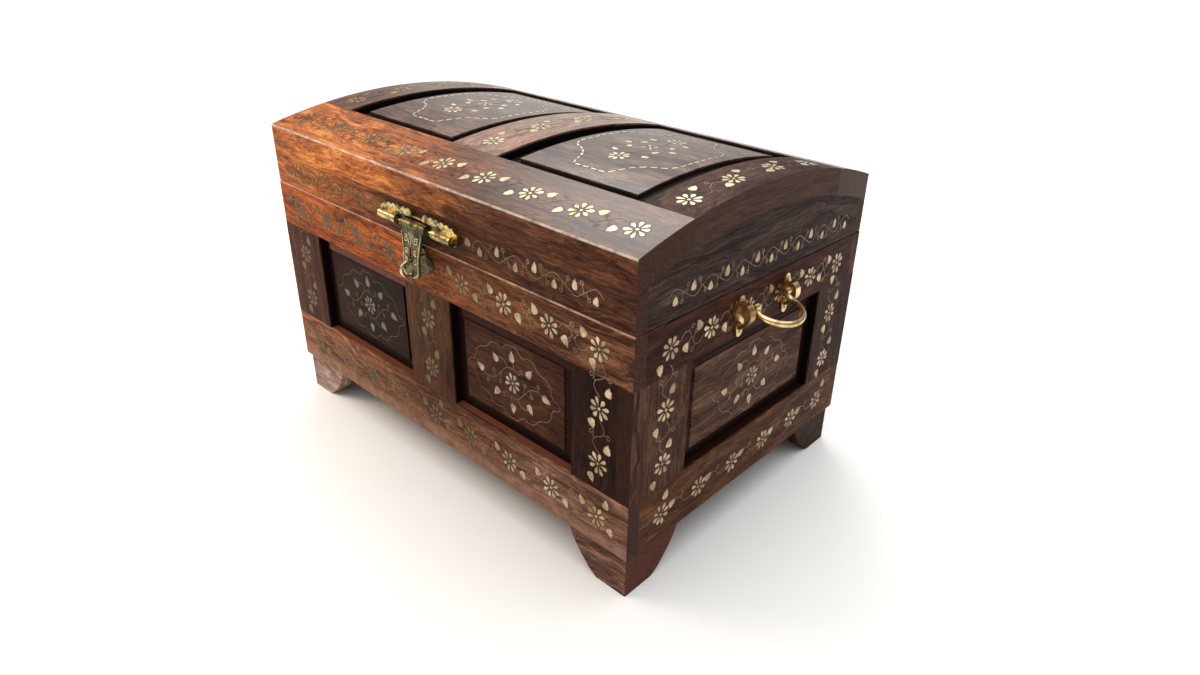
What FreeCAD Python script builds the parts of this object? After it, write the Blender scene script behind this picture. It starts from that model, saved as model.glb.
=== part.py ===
import FreeCAD, Part
import os
import math

V = FreeCAD.Vector
os.makedirs("parts", exist_ok=True)

# ---------------------------------------------------------------- driving sizes (mm)
LENGTH = 457.0            # case, end to end (18 in)
DEPTH = 305.0             # case, front to back (12 in)
FOOT_H = 38.0             # height of the bracket feet
CASE_TOP = 224.3          # top edge of the case
LID_BOTTOM = 224.8        # underside of the closed lid
LID_SET = 0.5             # the lid is this much smaller than the case on each side
CROWN = 301.0             # top of the arched lid
LID_R = 503.0             # radius of the arch, measured outside
LID_T = 22.5              # thickness of the arched frame
FRONT_T = 12.0            # thickness of the front and back frames
SIDE_T = 13.5             # thickness of the end frames
BOTTOM_RAIL = 50.0        # height of the bottom rails
OPEN_TOP = 183.5          # top edge of the panel openings
STILE_IN = 169.5          # inner edge of the outer front stiles, from the middle
MID_HALF = 30.0           # half the middle stile's width
END_OPEN = 90.5           # half the opening in the end frames
LID_BOARD_T = 11.0        # lid front and back boards
LID_END_T = 13.0          # lid end boards
LID_RAIL_IN = 97.5        # inner edge of the lid's front and back rails
RIB_OUT = 184.0           # inner edge of the outer ribs
RIB_MID = 28.0            # half the middle rib's width
TENON = 8.0               # length of the stub tenons
GROOVE = 5.0              # depth of the panel grooves
G0, G1 = 7.9, 10.1        # the groove's near and far face, below the frame's face
BEVEL = 12.0              # width of the bevel round a raised field
HX, HY = LENGTH / 2.0, DEPTH / 2.0
Z_OPEN = FOOT_H + BOTTOM_RAIL
ARC_Z = CROWN - LID_R     # height of the arch's centre
LX, LY = HX - LID_SET, HY - LID_SET


PIECES = {}
def save(name, shape):
    if shape.ShapeType == "Compound" and len(shape.Solids) == 1:
        shape = shape.Solids[0]
    PIECES[name] = shape


def box(x0, x1, y0, y1, z0, z1):
    return Part.makeBox(x1 - x0, y1 - y0, z1 - z0, V(x0, y0, z0))


def cyl(p, d, r, h):
    return Part.makeCylinder(r, h, V(*p), V(*d))


def turned(shape, deg, centre=(0, 0, 0), axis=(0, 0, 1)):
    s = shape.copy()
    s.rotate(V(*centre), V(*axis), deg)
    return s


def eased(shape, r, pick):
    """Round the edges that pick() chooses."""
    edges = [e for e in shape.Edges if pick(e)]
    return shape.makeFillet(r, edges) if edges else shape


def along(e, axis, **at):
    """True for a straight edge along axis at the given coordinates."""
    if e.Curve.TypeId != "Part::GeomLine" or len(e.Vertexes) < 2:
        return False
    a, b = e.Vertexes[0].Point, e.Vertexes[1].Point
    d = b - a
    if d.Length < 1e-6:
        return False
    d.normalize()
    if abs(abs(d.dot(V(*axis))) - 1) > 1e-6:
        return False
    return all(abs(getattr(a, k) - v) < 1e-4 for k, v in at.items())


# ---------------------------------------------------------------- frame-and-panel walls
# Each wall is made as a front wall, facing -Y with its face at y = -H, and then turned.
def raised_panel(u0, u1, z0, z1, H):
    """Panel with a raised field, held by its edge in the frame's groove."""
    def rect(d, m):
        y = -H + d
        p = [V(u0 + m, y, z0 + m), V(u1 - m, y, z0 + m), V(u1 - m, y, z1 - m), V(u0 + m, y, z1 - m)]
        return Part.makePolygon(p + [p[0]])
    tongue = box(u0 - GROOVE + 0.5, u1 + GROOVE - 0.5, -H + G0 + 0.1, -H + G1 - 0.1,
                 z0 - GROOVE + 0.5, z1 + GROOVE - 0.5)
    slope = Part.makeLoft([rect(G0 + 0.15, 0.2), rect(G0 - 1.4, BEVEL)], True, True)
    field = box(u0 + BEVEL, u1 - BEVEL, -H + 5.2, -H + G1 - 0.2, z0 + BEVEL, z1 - BEVEL)
    edge = [e for e in field.Edges if abs(e.BoundBox.YMin + H - 5.2) < 1e-6 and abs(e.BoundBox.YMax + H - 5.2) < 1e-6]
    field = field.makeFillet(0.5, edge)
    return tongue.fuse(slope).fuse(field).removeSplitter()


def groove(u0, u1, z0, z1, H):
    return box(u0 - GROOVE, u1 + GROOVE, -H + G0, -H + G1, z0 - GROOVE, z1 + GROOVE)


def wall(H, half_rail, T, stiles, openings, prefix, names, deg, ends):
    """Rails above and below, stiles tenoned between them, panels in the grooves."""
    out = {}
    bottom = box(-half_rail, half_rail, -H, -H + T, FOOT_H, Z_OPEN)
    top = box(-half_rail, half_rail, -H, -H + T, OPEN_TOP, CASE_TOP)
    cuts = [groove(a, b, Z_OPEN, OPEN_TOP, H) for a, b in openings]
    made = []
    for (u0, u1, t0, t1) in stiles:
        s = box(u0, u1, -H, -H + T, Z_OPEN, OPEN_TOP)
        low = box(t0, t1, -H + 3.6, -H + 7.6, Z_OPEN - TENON, Z_OPEN)
        high = box(t0, t1, -H + 3.6, -H + 7.6, OPEN_TOP, OPEN_TOP + TENON)
        for c in cuts:
            s = s.cut(c)
        s = s.fuse(low).fuse(high).removeSplitter()
        made.append(s)
        bottom = bottom.cut(box(t0, t1, -H + 3.6, -H + 7.6, Z_OPEN - TENON - 0.5, Z_OPEN + 1))
        top = top.cut(box(t0, t1, -H + 3.6, -H + 7.6, OPEN_TOP - 1, OPEN_TOP + TENON + 0.5))
    for c in cuts:
        bottom, top = bottom.cut(c), top.cut(c)
    top = eased(top, 0.9, lambda e: along(e, (1, 0, 0), y=-H, z=CASE_TOP))
    bottom = eased(bottom, 0.9, lambda e: along(e, (1, 0, 0), y=-H, z=FOOT_H))
    if ends:
        top = eased(top, 0.7, lambda e: along(e, (0, 0, 1), y=-H, x=half_rail) or along(e, (0, 0, 1), y=-H, x=-half_rail))
        bottom = eased(bottom, 0.7, lambda e: along(e, (0, 0, 1), y=-H, x=half_rail) or along(e, (0, 0, 1), y=-H, x=-half_rail))
    out[prefix + "_bottom_rail"] = bottom
    out[prefix + "_top_rail"] = top
    for n, s in zip(names[0], made):
        out[prefix + n] = s
    for n, (a, b) in zip(names[1], openings):
        out[prefix + n] = raised_panel(a, b, Z_OPEN, OPEN_TOP, H)
    for n, s in out.items():
        save(n, turned(s, deg))


S_IN = HX - SIDE_T        # the outer front stiles end where the end frames' stiles begin
front_stiles = [(-S_IN, -STILE_IN, -S_IN + 6, -STILE_IN - 9), (-MID_HALF, MID_HALF, -MID_HALF + 9, MID_HALF - 9),
                (STILE_IN, S_IN, STILE_IN + 9, S_IN - 6)]
front_open = [(-STILE_IN, -MID_HALF), (MID_HALF, STILE_IN)]
wall(HY, HX, FRONT_T, front_stiles, front_open, "front",
     (["_left_stile", "_middle_stile", "_right_stile"], ["_left_panel", "_right_panel"]), 0, True)
wall(HY, HX, FRONT_T, front_stiles, front_open, "back",
     (["_right_stile", "_middle_stile", "_left_stile"], ["_right_panel", "_left_panel"]), 180, True)
# The end stiles reach forward and back between the long rails to the outer faces.
side_rail = HY - FRONT_T
end_stiles = [(-HY, -END_OPEN, -side_rail + 6, -END_OPEN - 9), (END_OPEN, HY, END_OPEN + 9, side_rail - 6)]
wall(HX, side_rail, SIDE_T, end_stiles, [(-END_OPEN, END_OPEN)], "right",
     (["_front_stile", "_back_stile"], ["_panel"]), 90, False)
wall(HX, side_rail, SIDE_T, end_stiles, [(-END_OPEN, END_OPEN)], "left",
     (["_back_stile", "_front_stile"], ["_panel"]), -90, False)

# ---------------------------------------------------------------- floor and feet
save("floor_board", box(-S_IN, S_IN, -side_rail, side_rail, FOOT_H + 3, FOOT_H + 12))

FOOT_IN = 3.0             # the feet stand this much inside the case's faces
FOOT_T = 15.0
FOOT_TOP, FOOT_BASE = 60.0, 30.0
def bracket():
    """Profile of one arm: a runs from the corner, z up; the free end is an ogee."""
    pts = [V(FOOT_TOP, 0, FOOT_H), V(58.2, 0, 30.5), V(52.5, 0, 21.0), V(43.5, 0, 10.5), V(35.0, 0, 3.0), V(FOOT_BASE, 0, 0)]
    curve = Part.BSplineCurve()
    curve.interpolate(pts)
    w = Part.Wire([curve.toShape(), Part.makeLine(pts[-1], V(0, 0, 0)), Part.makeLine(V(0, 0, 0), V(0, 0, FOOT_H)),
                   Part.makeLine(V(0, 0, FOOT_H), pts[0])])
    return Part.Face(w).extrude(V(0, FOOT_T, 0))


def foot():
    """One corner foot: two arms cut from one block, corner at the origin, arms along +x and +y."""
    a = bracket()
    b = bracket().mirror(V(0, 0, 0), V(0, 1, 0))
    b.rotate(V(0, 0, 0), V(0, 0, 1), 90)
    f = a.fuse(b).removeSplitter()
    return eased(f, 1.0, lambda e: along(e, (0, 0, 1), x=0, y=0))


FX, FY = HX - FOOT_IN, HY - FOOT_IN
f0 = foot()
def placed(sx, sy):
    s = f0.copy()
    if sx > 0:
        s = s.mirror(V(0, 0, 0), V(1, 0, 0))
    if sy > 0:
        s = s.mirror(V(0, 0, 0), V(0, 1, 0))
    s.translate(V(sx * FX, sy * FY, 0))
    return s


save("foot_front_left", placed(-1, -1))
save("foot_front_right", placed(1, -1))
save("foot_back_left", placed(-1, 1))
save("foot_back_right", placed(1, 1))

# ---------------------------------------------------------------- lid
def arch(r, x0, x1):
    return Part.makeCylinder(r, x1 - x0, V(x0, 0, ARC_Z), V(1, 0, 0))


def shell_piece(x0, x1, y0, y1, r_out=LID_R, r_in=LID_R - LID_T):
    slab = arch(r_out, x0, x1).cut(arch(r_in, x0 - 1, x1 + 1))
    return slab.common(box(x0, x1, y0, y1, LID_BOTTOM, CROWN + 5))


inner = arch(LID_R - LID_T, -LX - 1, LX + 1)
LF = LY - LID_BOARD_T
front_board = box(-LX, LX, -LY, -LF, LID_BOTTOM, CROWN).common(inner)
back_board = box(-LX, LX, LF, LY, LID_BOTTOM, CROWN).common(inner)
front_board = eased(front_board, 0.5, lambda e: along(e, (1, 0, 0), y=-LY, z=LID_BOTTOM))
save("lid_front_board", front_board)
save("lid_back_board", back_board)
save("lid_right_end_board", box(LX - LID_END_T, LX, -LF, LF, LID_BOTTOM, CROWN).common(inner))
save("lid_left_end_board", box(-LX, -LX + LID_END_T, -LF, LF, LID_BOTTOM, CROWN).common(inner))

# grooves for the lid's panels, cut at the same depth all along the arch
LG0, LG1 = 8.0, 10.4
def lid_groove(x0, x1):
    ring = arch(LID_R - LG0, x0 - GROOVE, x1 + GROOVE).cut(arch(LID_R - LG1, x0 - GROOVE - 1, x1 + GROOVE + 1))
    return ring.common(box(x0 - GROOVE, x1 + GROOVE, -LID_RAIL_IN - GROOVE, LID_RAIL_IN + GROOVE, LID_BOTTOM, CROWN + 5))


lid_open = [(-RIB_OUT, -RIB_MID), (RIB_MID, RIB_OUT)]
lid_cuts = [lid_groove(a, b) for a, b in lid_open]
def cut_lid(s, r=0.0):
    for c in lid_cuts:
        s = s.cut(c)
    return s


front_rail = cut_lid(shell_piece(-LX, LX, -LY, -LID_RAIL_IN))
front_rail = eased(front_rail, 1.6, lambda e: e.BoundBox.YMax < -LY + 0.01 and e.BoundBox.ZMin > 270 and e.BoundBox.XLength > 400)
save("lid_front_rail", front_rail)
save("lid_back_rail", cut_lid(shell_piece(-LX, LX, LID_RAIL_IN, LY)))
save("lid_left_rib", cut_lid(shell_piece(-LX, -RIB_OUT, -LID_RAIL_IN, LID_RAIL_IN)))
save("lid_middle_rib", cut_lid(shell_piece(-RIB_MID, RIB_MID, -LID_RAIL_IN, LID_RAIL_IN)))
save("lid_right_rib", cut_lid(shell_piece(RIB_OUT, LX, -LID_RAIL_IN, LID_RAIL_IN)))

LF_X, LF_Y = 16.0, 11.0   # margins of the raised field on the lid
def lid_panel(x0, x1):
    """Curved panel: edge in the groove, sloping margin in two steps, raised field."""
    y = LID_RAIL_IN
    edge = shell_piece(x0 - GROOVE + 0.5, x1 + GROOVE - 0.5, -y - GROOVE + 0.5, y + GROOVE - 0.5,
                       LID_R - LG0 - 0.1, LID_R - LG1 + 0.1)
    g = 0.2
    slope = shell_piece(x0 + g, x1 - g, -y + g, y - g, LID_R - 6.2, LID_R - LG1 + 0.1)
    # the margin falls away towards the frame on all four sides
    def wedge(sign, axis):
        if axis == "x":
            xe = x1 - g if sign > 0 else x0 + g
            xi = xe - sign * LF_X
            n = 24
            secs = []
            pts = [V(xe, 0, 0), V(xe, 0, 0), V(xi, 0, 0)]
            ring = Part.makePolygon([V(xe, 0, LID_R - LG0 - 0.1), V(xi, 0, LID_R - 6.2), V(xe, 0, LID_R - 6.2),
                                     V(xe, 0, LID_R - LG0 - 0.1)])
            f = Part.Face(Part.Wire(ring))
            f.translate(V(0, 0, ARC_Z))
            f.rotate(V(0, 0, ARC_Z), V(1, 0, 0), -14)
            return f.revolve(V(0, 0, ARC_Z), V(1, 0, 0), 28)
        ye = sign * (y - g)
        zt = math.sqrt((LID_R - 6.2) ** 2 - ye ** 2) + ARC_Z
        yi = ye - sign * LF_Y
        zi = math.sqrt((LID_R - 6.2) ** 2 - yi ** 2) + ARC_Z
        p = [V(x0, ye, zt - 1.9), V(x0, yi, zi), V(x0, yi, zi + 3), V(x0, ye + sign, zt + 3), V(x0, ye + sign, zt - 1.9)]
        return Part.Face(Part.makePolygon(p + [p[0]])).extrude(V(x1 - x0, 0, 0))
    for sg in (-1, 1):
        slope = slope.cut(wedge(sg, "x"))
        slope = slope.cut(wedge(sg, "y"))
    field = shell_piece(x0 + LF_X, x1 - LF_X, -y + LF_Y, y - LF_Y, LID_R - 2.2, LID_R - LG1 + 0.1)
    return edge.fuse(slope).fuse(field).removeSplitter()


save("lid_left_panel", lid_panel(*lid_open[0]))
save("lid_right_panel", lid_panel(*lid_open[1]))

# ---------------------------------------------------------------- hinges at the back
HINGE_Y, HINGE_Z = HY + 3.5, (CASE_TOP + LID_BOTTOM) / 2
HINGE_X = 135.0
HINGE_W = 40.0
BARREL_R, PIN_R = 3.0, 1.5
K = HINGE_W / 5.0         # five knuckles: case, lid, case, lid, case
def hinge_leaf(xc, up):
    x0 = xc - HINGE_W / 2
    mine = [1, 3] if up else [0, 2, 4]
    if up:
        plate = box(x0, x0 + HINGE_W, LY, LY + 2.0, HINGE_Z + 3.4, HINGE_Z + 22)
    else:
        plate = box(x0, x0 + HINGE_W, HY, HY + 2.0, HINGE_Z - 22, HINGE_Z - 3.4)
    y0 = LY if up else HY
    for i in mine:
        a, b = x0 + i * K + 0.15, x0 + (i + 1) * K - 0.15
        if up:
            plate = plate.fuse(box(a, b, y0, y0 + 2.0, HINGE_Z + 1.4, HINGE_Z + 5))
        else:
            plate = plate.fuse(box(a, b, y0, y0 + 2.0, HINGE_Z - 5, HINGE_Z - 1.4))
        plate = plate.fuse(cyl((a, HINGE_Y, HINGE_Z), (1, 0, 0), BARREL_R, b - a))
    plate = plate.cut(cyl((x0 - 1, HINGE_Y, HINGE_Z), (1, 0, 0), PIN_R + (0.06 if up else 0.0), HINGE_W + 2))
    # countersunk screw holes
    for dx, dz in SCREWS:
        z = HINGE_Z + dz if up else HINGE_Z - dz
        plate = plate.cut(cyl((xc + dx, y0 - 1, z), (0, 1, 0), 1.6, 4))
        plate = plate.cut(Part.makeCone(1.6, 3.0, 1.4, V(xc + dx, y0 + 0.6, z), V(0, 1, 0)))
    return plate.removeSplitter()


def screw(x, y, z):
    """Countersunk wood screw driven in from the back."""
    head = Part.makeCone(1.6, 2.9, 1.3, V(x, y + 0.6, z), V(0, 1, 0))
    shank = cyl((x, y - 8.0, z), (0, 1, 0), 1.6, 8.6)
    s = head.fuse(shank)
    return s.cut(box(x - 3.2, x + 3.2, y + 1.3, y + 2.2, z - 0.35, z + 0.35)).removeSplitter()


SCREWS = [(-13.5, 9.0), (13.5, 9.0), (0.0, 16.0)]
case_screws, lid_screws, pins = [], [], []
for nm, xc in (("left", -HINGE_X), ("right", HINGE_X)):
    save("hinge_%s_case_leaf" % nm, hinge_leaf(xc, False))
    save("hinge_%s_lid_leaf" % nm, hinge_leaf(xc, True))
    pins.append(cyl((xc - HINGE_W / 2 + 0.1, HINGE_Y, HINGE_Z), (1, 0, 0), PIN_R, HINGE_W - 0.2))
    for dx, dz in SCREWS:
        case_screws.append(screw(xc + dx, HY, HINGE_Z - dz))
        lid_screws.append(screw(xc + dx, LY, HINGE_Z + dz))
save("hinge_pins", Part.makeCompound(pins))
save("hinge_case_screws", Part.makeCompound(case_screws))
save("hinge_lid_screws", Part.makeCompound(lid_screws))

# ---------------------------------------------------------------- hasp
HASP_Y = -HY - 4.2        # hinge line of the hasp, in front of the lid
HASP_Z = 239.3
HASP_R = 4.0
HASP_PIN = 1.3
LEAF_TILT = 6.0           # the leaf hangs this far off upright, clear of the staple


def disc(x, z, r, y0, t):
    return cyl((x, y0, z), (0, 1, 0), r, t)


def sheet(points, y0, t, mirrored=True):
    """Plate with a smooth outline through points (x, z) down the right side, and the same on the left."""
    side = [V(x, 0, z) for x, z in points]
    c1 = Part.BSplineCurve()
    c1.interpolate(side)
    c2 = Part.BSplineCurve()
    c2.interpolate([V(-q.x, 0, q.z) for q in reversed(side)])
    edges = [c1.toShape(), c2.toShape()]
    if side[0].x > 0.01:
        edges.append(Part.makeLine(V(-side[0].x, 0, side[0].z), side[0]))
    if side[-1].x > 0.01:
        edges.append(Part.makeLine(side[-1], V(-side[-1].x, 0, side[-1].z)))
    f = Part.Face(Part.Wire(Part.__sortEdges__(edges)))
    f.translate(V(0, y0, 0))
    return f.extrude(V(0, t, 0))


py, pt = -LY - 3.0, 3.0
TOP = [(7.2, 246.2), (8.6, 249.4), (11.0, 251.0), (13.6, 250.2), (15.2, 249.3), (17.2, 250.4), (19.6, 250.6), (21.6, 249.2),
       (23.8, 250.2), (26.2, 250.4), (28.2, 249.0), (30.4, 249.9), (32.8, 250.0), (34.6, 248.6), (36.8, 249.5), (39.2, 249.5),
       (41.0, 248.1), (43.0, 248.6), (45.4, 248.0), (46.8, 246.2), (48.6, 245.6), (51.0, 243.6)]
LOW = [(51.0, 243.6), (49.6, 240.6), (49.8, 237.6), (48.4, 235.2), (46.0, 234.4), (17.0, 234.4), (17.0, 244.3), (7.2, 244.3), (7.2, 246.2)]
half = []
for sx in (1, -1):
    c = Part.BSplineCurve()
    c.interpolate([V(sx * x, py, z) for x, z in TOP])
    low = [V(sx * x, py, z) for x, z in LOW]
    w = Part.Wire(Part.__sortEdges__([c.toShape()] + [Part.makeLine(low[i], low[i + 1]) for i in range(len(low) - 1)]))
    half.append(Part.Face(w).extrude(V(0, pt, 0)))
plate = half[0].fuse(half[1]).fuse(box(-8, 8, py + 0.6, py + pt, 244.3, 246.0))
for sx in (-1, 1):
    x0 = 24.0 if sx > 0 else -47.0
    plate = plate.fuse(cyl((x0, HASP_Y, HASP_Z), (1, 0, 0), HASP_R, 23.0))
plate = plate.cut(box(-60, 60, -LY, -LY + 5, 220, 260))
plate = plate.cut(cyl((-50, HASP_Y, HASP_Z), (1, 0, 0), HASP_PIN, 100))
SCREW_H = [(-33.5, 246.4), (33.5, 246.4), (-12.6, 247.2), (12.6, 247.2)]
for x, z in SCREW_H:
    plate = plate.cut(cyl((x, py - 1, z), (0, 1, 0), 1.1, 6))
save("hasp_lid_plate", plate.removeSplitter())


def round_nail(x, y, z, d=(0, -1, 0), r=2.1):
    """Round-headed pin: d points out of the wood, (x, y, z) is under its head."""
    D = V(*d)
    s = Part.makeSphere(r, V(x, y, z) - D * (r * 0.42), V(0, 0, 1))
    keep = Part.makeCylinder(r + 1, r + 1, V(x, y, z), D)
    s = s.common(keep)
    shank = Part.makeCylinder(1.1, 9.2, V(x, y, z) - D * 9.0, D)
    return s.fuse(shank).removeSplitter()


save("hasp_screws", Part.makeCompound([round_nail(x, py, z, r=1.7) for x, z in SCREW_H]))
pin = cyl((-47.3, HASP_Y, HASP_Z), (1, 0, 0), HASP_PIN, 94.6)
for sx in (-1, 1):
    pin = pin.fuse(cyl((47.0 if sx > 0 else -48.4, HASP_Y, HASP_Z), (1, 0, 0), 1.6, 1.4))
save("hasp_pin", pin.removeSplitter())

# the leaf, made upright and then tilted
leaf_t = 1.4
ly0 = HASP_Y - HASP_R
leaf = sheet([(14.6, 239.0), (14.4, 235.0), (13.0, 228.5), (11.7, 221.5), (10.7, 214.0), (11.2, 208.0), (11.4, 203.5), (9.6, 199.6),
              (6.2, 198.0), (3.4, 196.8), (1.6, 195.2), (0.0, 194.6)], ly0, leaf_t)
leaf = leaf.fuse(cyl((-15.6, HASP_Y, HASP_Z), (1, 0, 0), HASP_R, 31.2))
STAPLE_Z, STAPLE_H, STAPLE_R = 217.6, 3.9, 0.8
slot = box(-1.9, 1.9, ly0 - 2, ly0 + leaf_t + 2, 213.0, 222.6)
slot = eased(slot, 1.2, lambda e: along(e, (0, 1, 0)))
leaf = leaf.cut(slot)
leaf = leaf.cut(cyl((-17, HASP_Y, HASP_Z), (1, 0, 0), HASP_PIN + 0.06, 34))
RING_Z, RING_C, RING_R, RING_OUT = 205.4, 5.9, 1.25, 2.6
ring = Part.makeTorus(RING_C, RING_R, V(0, ly0 - RING_OUT, RING_Z), V(1, 0, 0))
leaf = leaf.cut(ring).removeSplitter()
ring = ring.cut(box(-5, 5, ly0 + leaf_t, ly0 + 14, RING_Z - 12, RING_Z + 12)).removeSplitter()
tilt = lambda s: turned(s, -LEAF_TILT, (0, HASP_Y, HASP_Z), (1, 0, 0))
save("hasp_leaf", tilt(leaf))
save("hasp_pull_ring", tilt(ring))

# staple: two legs in the front rail, bridge standing out of a small plate
SL = 8.6
zt, zb = STAPLE_Z + STAPLE_H - STAPLE_R, STAPLE_Z - STAPLE_H + STAPLE_R
yo = -HY - SL + STAPLE_R
rb = 1.3
w = Part.Wire([Part.makeLine(V(0, -HY + 9, zt), V(0, yo + rb, zt)),
               Part.Arc(V(0, yo + rb, zt), V(0, yo + rb * (1 - math.sqrt(0.5)), zt - rb * (1 - math.sqrt(0.5))), V(0, yo, zt - rb)).toShape(),
               Part.makeLine(V(0, yo, zt - rb), V(0, yo, zb + rb)),
               Part.Arc(V(0, yo, zb + rb), V(0, yo + rb * (1 - math.sqrt(0.5)), zb + rb * (1 - math.sqrt(0.5))), V(0, yo + rb, zb)).toShape(),
               Part.makeLine(V(0, yo + rb, zb), V(0, -HY + 9, zb))])
prof = Part.Wire(Part.makeCircle(STAPLE_R, V(0, -HY + 9, zt), V(0, 1, 0)))
staple = w.makePipeShell([prof], True, True)
base = disc(0, 206.6, 9.2, -HY - 1.0, 1.0).fuse(disc(0, 215.6, 6.6, -HY - 1.0, 1.0))
for sx in (-1, 1):
    base = base.fuse(disc(sx * 8.6, 208.6, 5.4, -HY - 1.0, 1.0))
save("hasp_staple", staple.fuse(base).removeSplitter())

# ---------------------------------------------------------------- end handles
H_Z = 207.3               # height of the bail's pivots
H_S = 7.3                 # their distance from the end face
H_Y = 31.9                # half the pitch of the posts
H_C = -3.4                # the handle stands this far off the middle of the end
H_PIN = 1.25
NAIL_Z = (188.0, 215.0)


def post(yc):
    """Post in its own place on an end wall that faces +X at x = 0: a drop-shaped plate and a hollow bow that holds the pin."""
    t = 1.8
    rose = cyl((0, yc, 205.0), (1, 0, 0), 7.8, t)
    for z0, w0, z1, w1 in ((203.0, 7.5, 187.0, 3.4), (208.0, 7.1, 215.4, 3.5)):
        p = [V(0, yc - w0, z0), V(0, yc + w0, z0), V(0, yc + w1, z1), V(0, yc - w1, z1)]
        rose = rose.fuse(Part.Face(Part.makePolygon(p + [p[0]])).extrude(V(t, 0, 0)))
    rose = rose.fuse(cyl((0, yc, 188.0), (1, 0, 0), 3.8, t)).fuse(cyl((0, yc, 214.8), (1, 0, 0), 3.6, t))
    outer = [V(t - 0.4, yc, 209.6), V(3.6, yc, 211.8), V(7.2, yc, 212.6), V(10.6, yc, 211.0), V(12.5, yc, 207.4), V(12.7, yc, 203.0),
             V(11.0, yc, 198.8), V(7.6, yc, 194.8), V(4.4, yc, 192.0), V(t - 0.4, yc, 191.4)]
    inner = [V(t - 0.4, yc, 193.6), V(3.6, yc, 194.6), V(6.4, yc, 197.6), V(7.4, yc, 200.6), V(5.8, yc, 203.0), V(t - 0.4, yc, 204.0)]
    c1, c2 = Part.BSplineCurve(), Part.BSplineCurve()
    c1.interpolate(outer)
    c2.interpolate(inner)
    w = Part.Wire(Part.__sortEdges__([c1.toShape(), Part.makeLine(outer[-1], inner[0]), c2.toShape(), Part.makeLine(inner[-1], outer[0])]))
    bow = Part.Face(w).extrude(V(0, 7.0, 0))
    bow.translate(V(0, -3.5, 0))
    s = rose.fuse(bow)
    s = s.cut(cyl((H_S, yc - 12, H_Z), (0, 1, 0), H_PIN + 0.06, 24))
    for z in NAIL_Z:
        s = s.cut(cyl((-1, yc, z), (1, 0, 0), 1.1, 5))
    return s


def post_nails(yc):
    return [round_nail(1.8, yc, z, (1, 0, 0), 1.9) for z in NAIL_Z]


ROD = 2.7                 # radius of the bail's rod
ARM_Y = 22.0              # half the distance between its arms
def bail(phi):
    """Bail with cranked arms, pivots on the line (H_S, y, H_Z); phi is the loop's angle from hanging."""
    crank = math.radians(48.0)
    first, bend = 2.0, 8.0                       # straight start of the arm and the radius of its bend
    u1, w1 = first * math.cos(crank), -first * math.sin(crank)
    u2, w2 = u1 + bend * math.sin(crank), w1 - bend * (1 - math.cos(crank))
    n3, ex = 18.0, 27.7 - u2                     # shoulder radius, length of the loop
    n4 = ((ARM_Y - n3) ** 2 + ex ** 2 - n3 ** 2) / (2.0 * (ex - n3))
    th = math.degrees(math.atan2(n4 - ex, ARM_Y - n3))
    P = lambda y, u, w: V(w, y, -u)
    face = lambda c, d: Part.Face(Part.Wire(Part.makeCircle(ROD, c, d)))
    d0 = V(-math.sin(crank), 0, -math.cos(crank))
    half = Part.makeCylinder(ROD, first, P(ARM_Y, 0, 0), d0)
    # the bend turns round a line along y
    cb = P(ARM_Y, u2, w2 + bend)
    half = half.fuse(face(P(ARM_Y, u1, w1), d0).revolve(cb, V(0, -1, 0), 48.0))
    half = half.fuse(face(P(ARM_Y, u2, w2), V(0, 0, -1)).revolve(P(ARM_Y - n3, u2, w2), V(-1, 0, 0), th))
    t = math.radians(th)
    c4 = u2 + ex - n4
    half = half.fuse(face(P(n4 * math.cos(t), c4 + n4 * math.sin(t), w2), V(0, -math.sin(t), -math.cos(t))).revolve(
        P(0, c4, w2), V(-1, 0, 0), 90.0 - th))
    rod = half.fuse(half.mirror(V(0, 0, 0), V(0, 1, 0)))
    for sg in (-1, 1):
        # eye at the end of the arm, and the pin through the post
        rod = rod.fuse(cyl((0, -24.6 if sg < 0 else 19.4, 0), (0, 1, 0), 3.4, 5.2))
        rod = rod.fuse(cyl((0, -36.2 if sg < 0 else 24.0, 0), (0, 1, 0), H_PIN, 12.2))
    rod = rod.removeSplitter()
    rod.rotate(V(0, 0, 0), V(0, 1, 0), -phi)
    rod.translate(V(H_S, H_C, H_Z))
    return rod


def on_end(shape, side):
    s = shape.copy()
    if side < 0:
        s.rotate(V(0, 0, 0), V(0, 0, 1), 180)
    s.translate(V(side * HX, 0, 0))
    return s


BAIL_OUT, BAIL_HANG = 77.0, 9.0    # the right bail stands out from the end; the left one hangs
save("handle_right_front_post", on_end(post(H_C - H_Y), 1))
save("handle_right_back_post", on_end(post(H_C + H_Y), 1))
save("handle_right_bail", on_end(bail(BAIL_OUT), 1))
save("handle_left_back_post", on_end(post(H_C - H_Y), -1))
save("handle_left_front_post", on_end(post(H_C + H_Y), -1))
save("handle_left_bail", on_end(bail(BAIL_HANG), -1))
nails = []
for side in (1, -1):
    for yc in (H_C - H_Y, H_C + H_Y):
        nails += [on_end(n, side) for n in post_nails(yc)]
save("handle_screws", Part.makeCompound(nails))

# ---------------------------------------------------------------- holes for what is driven into the wood
def drill(name, *tools):
    s = PIECES[name]
    for t in tools:
        s = s.cut(t)
    if s.ShapeType == "Compound" and len(s.Solids) == 1:
        s = s.Solids[0]
    PIECES[name] = s


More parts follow.
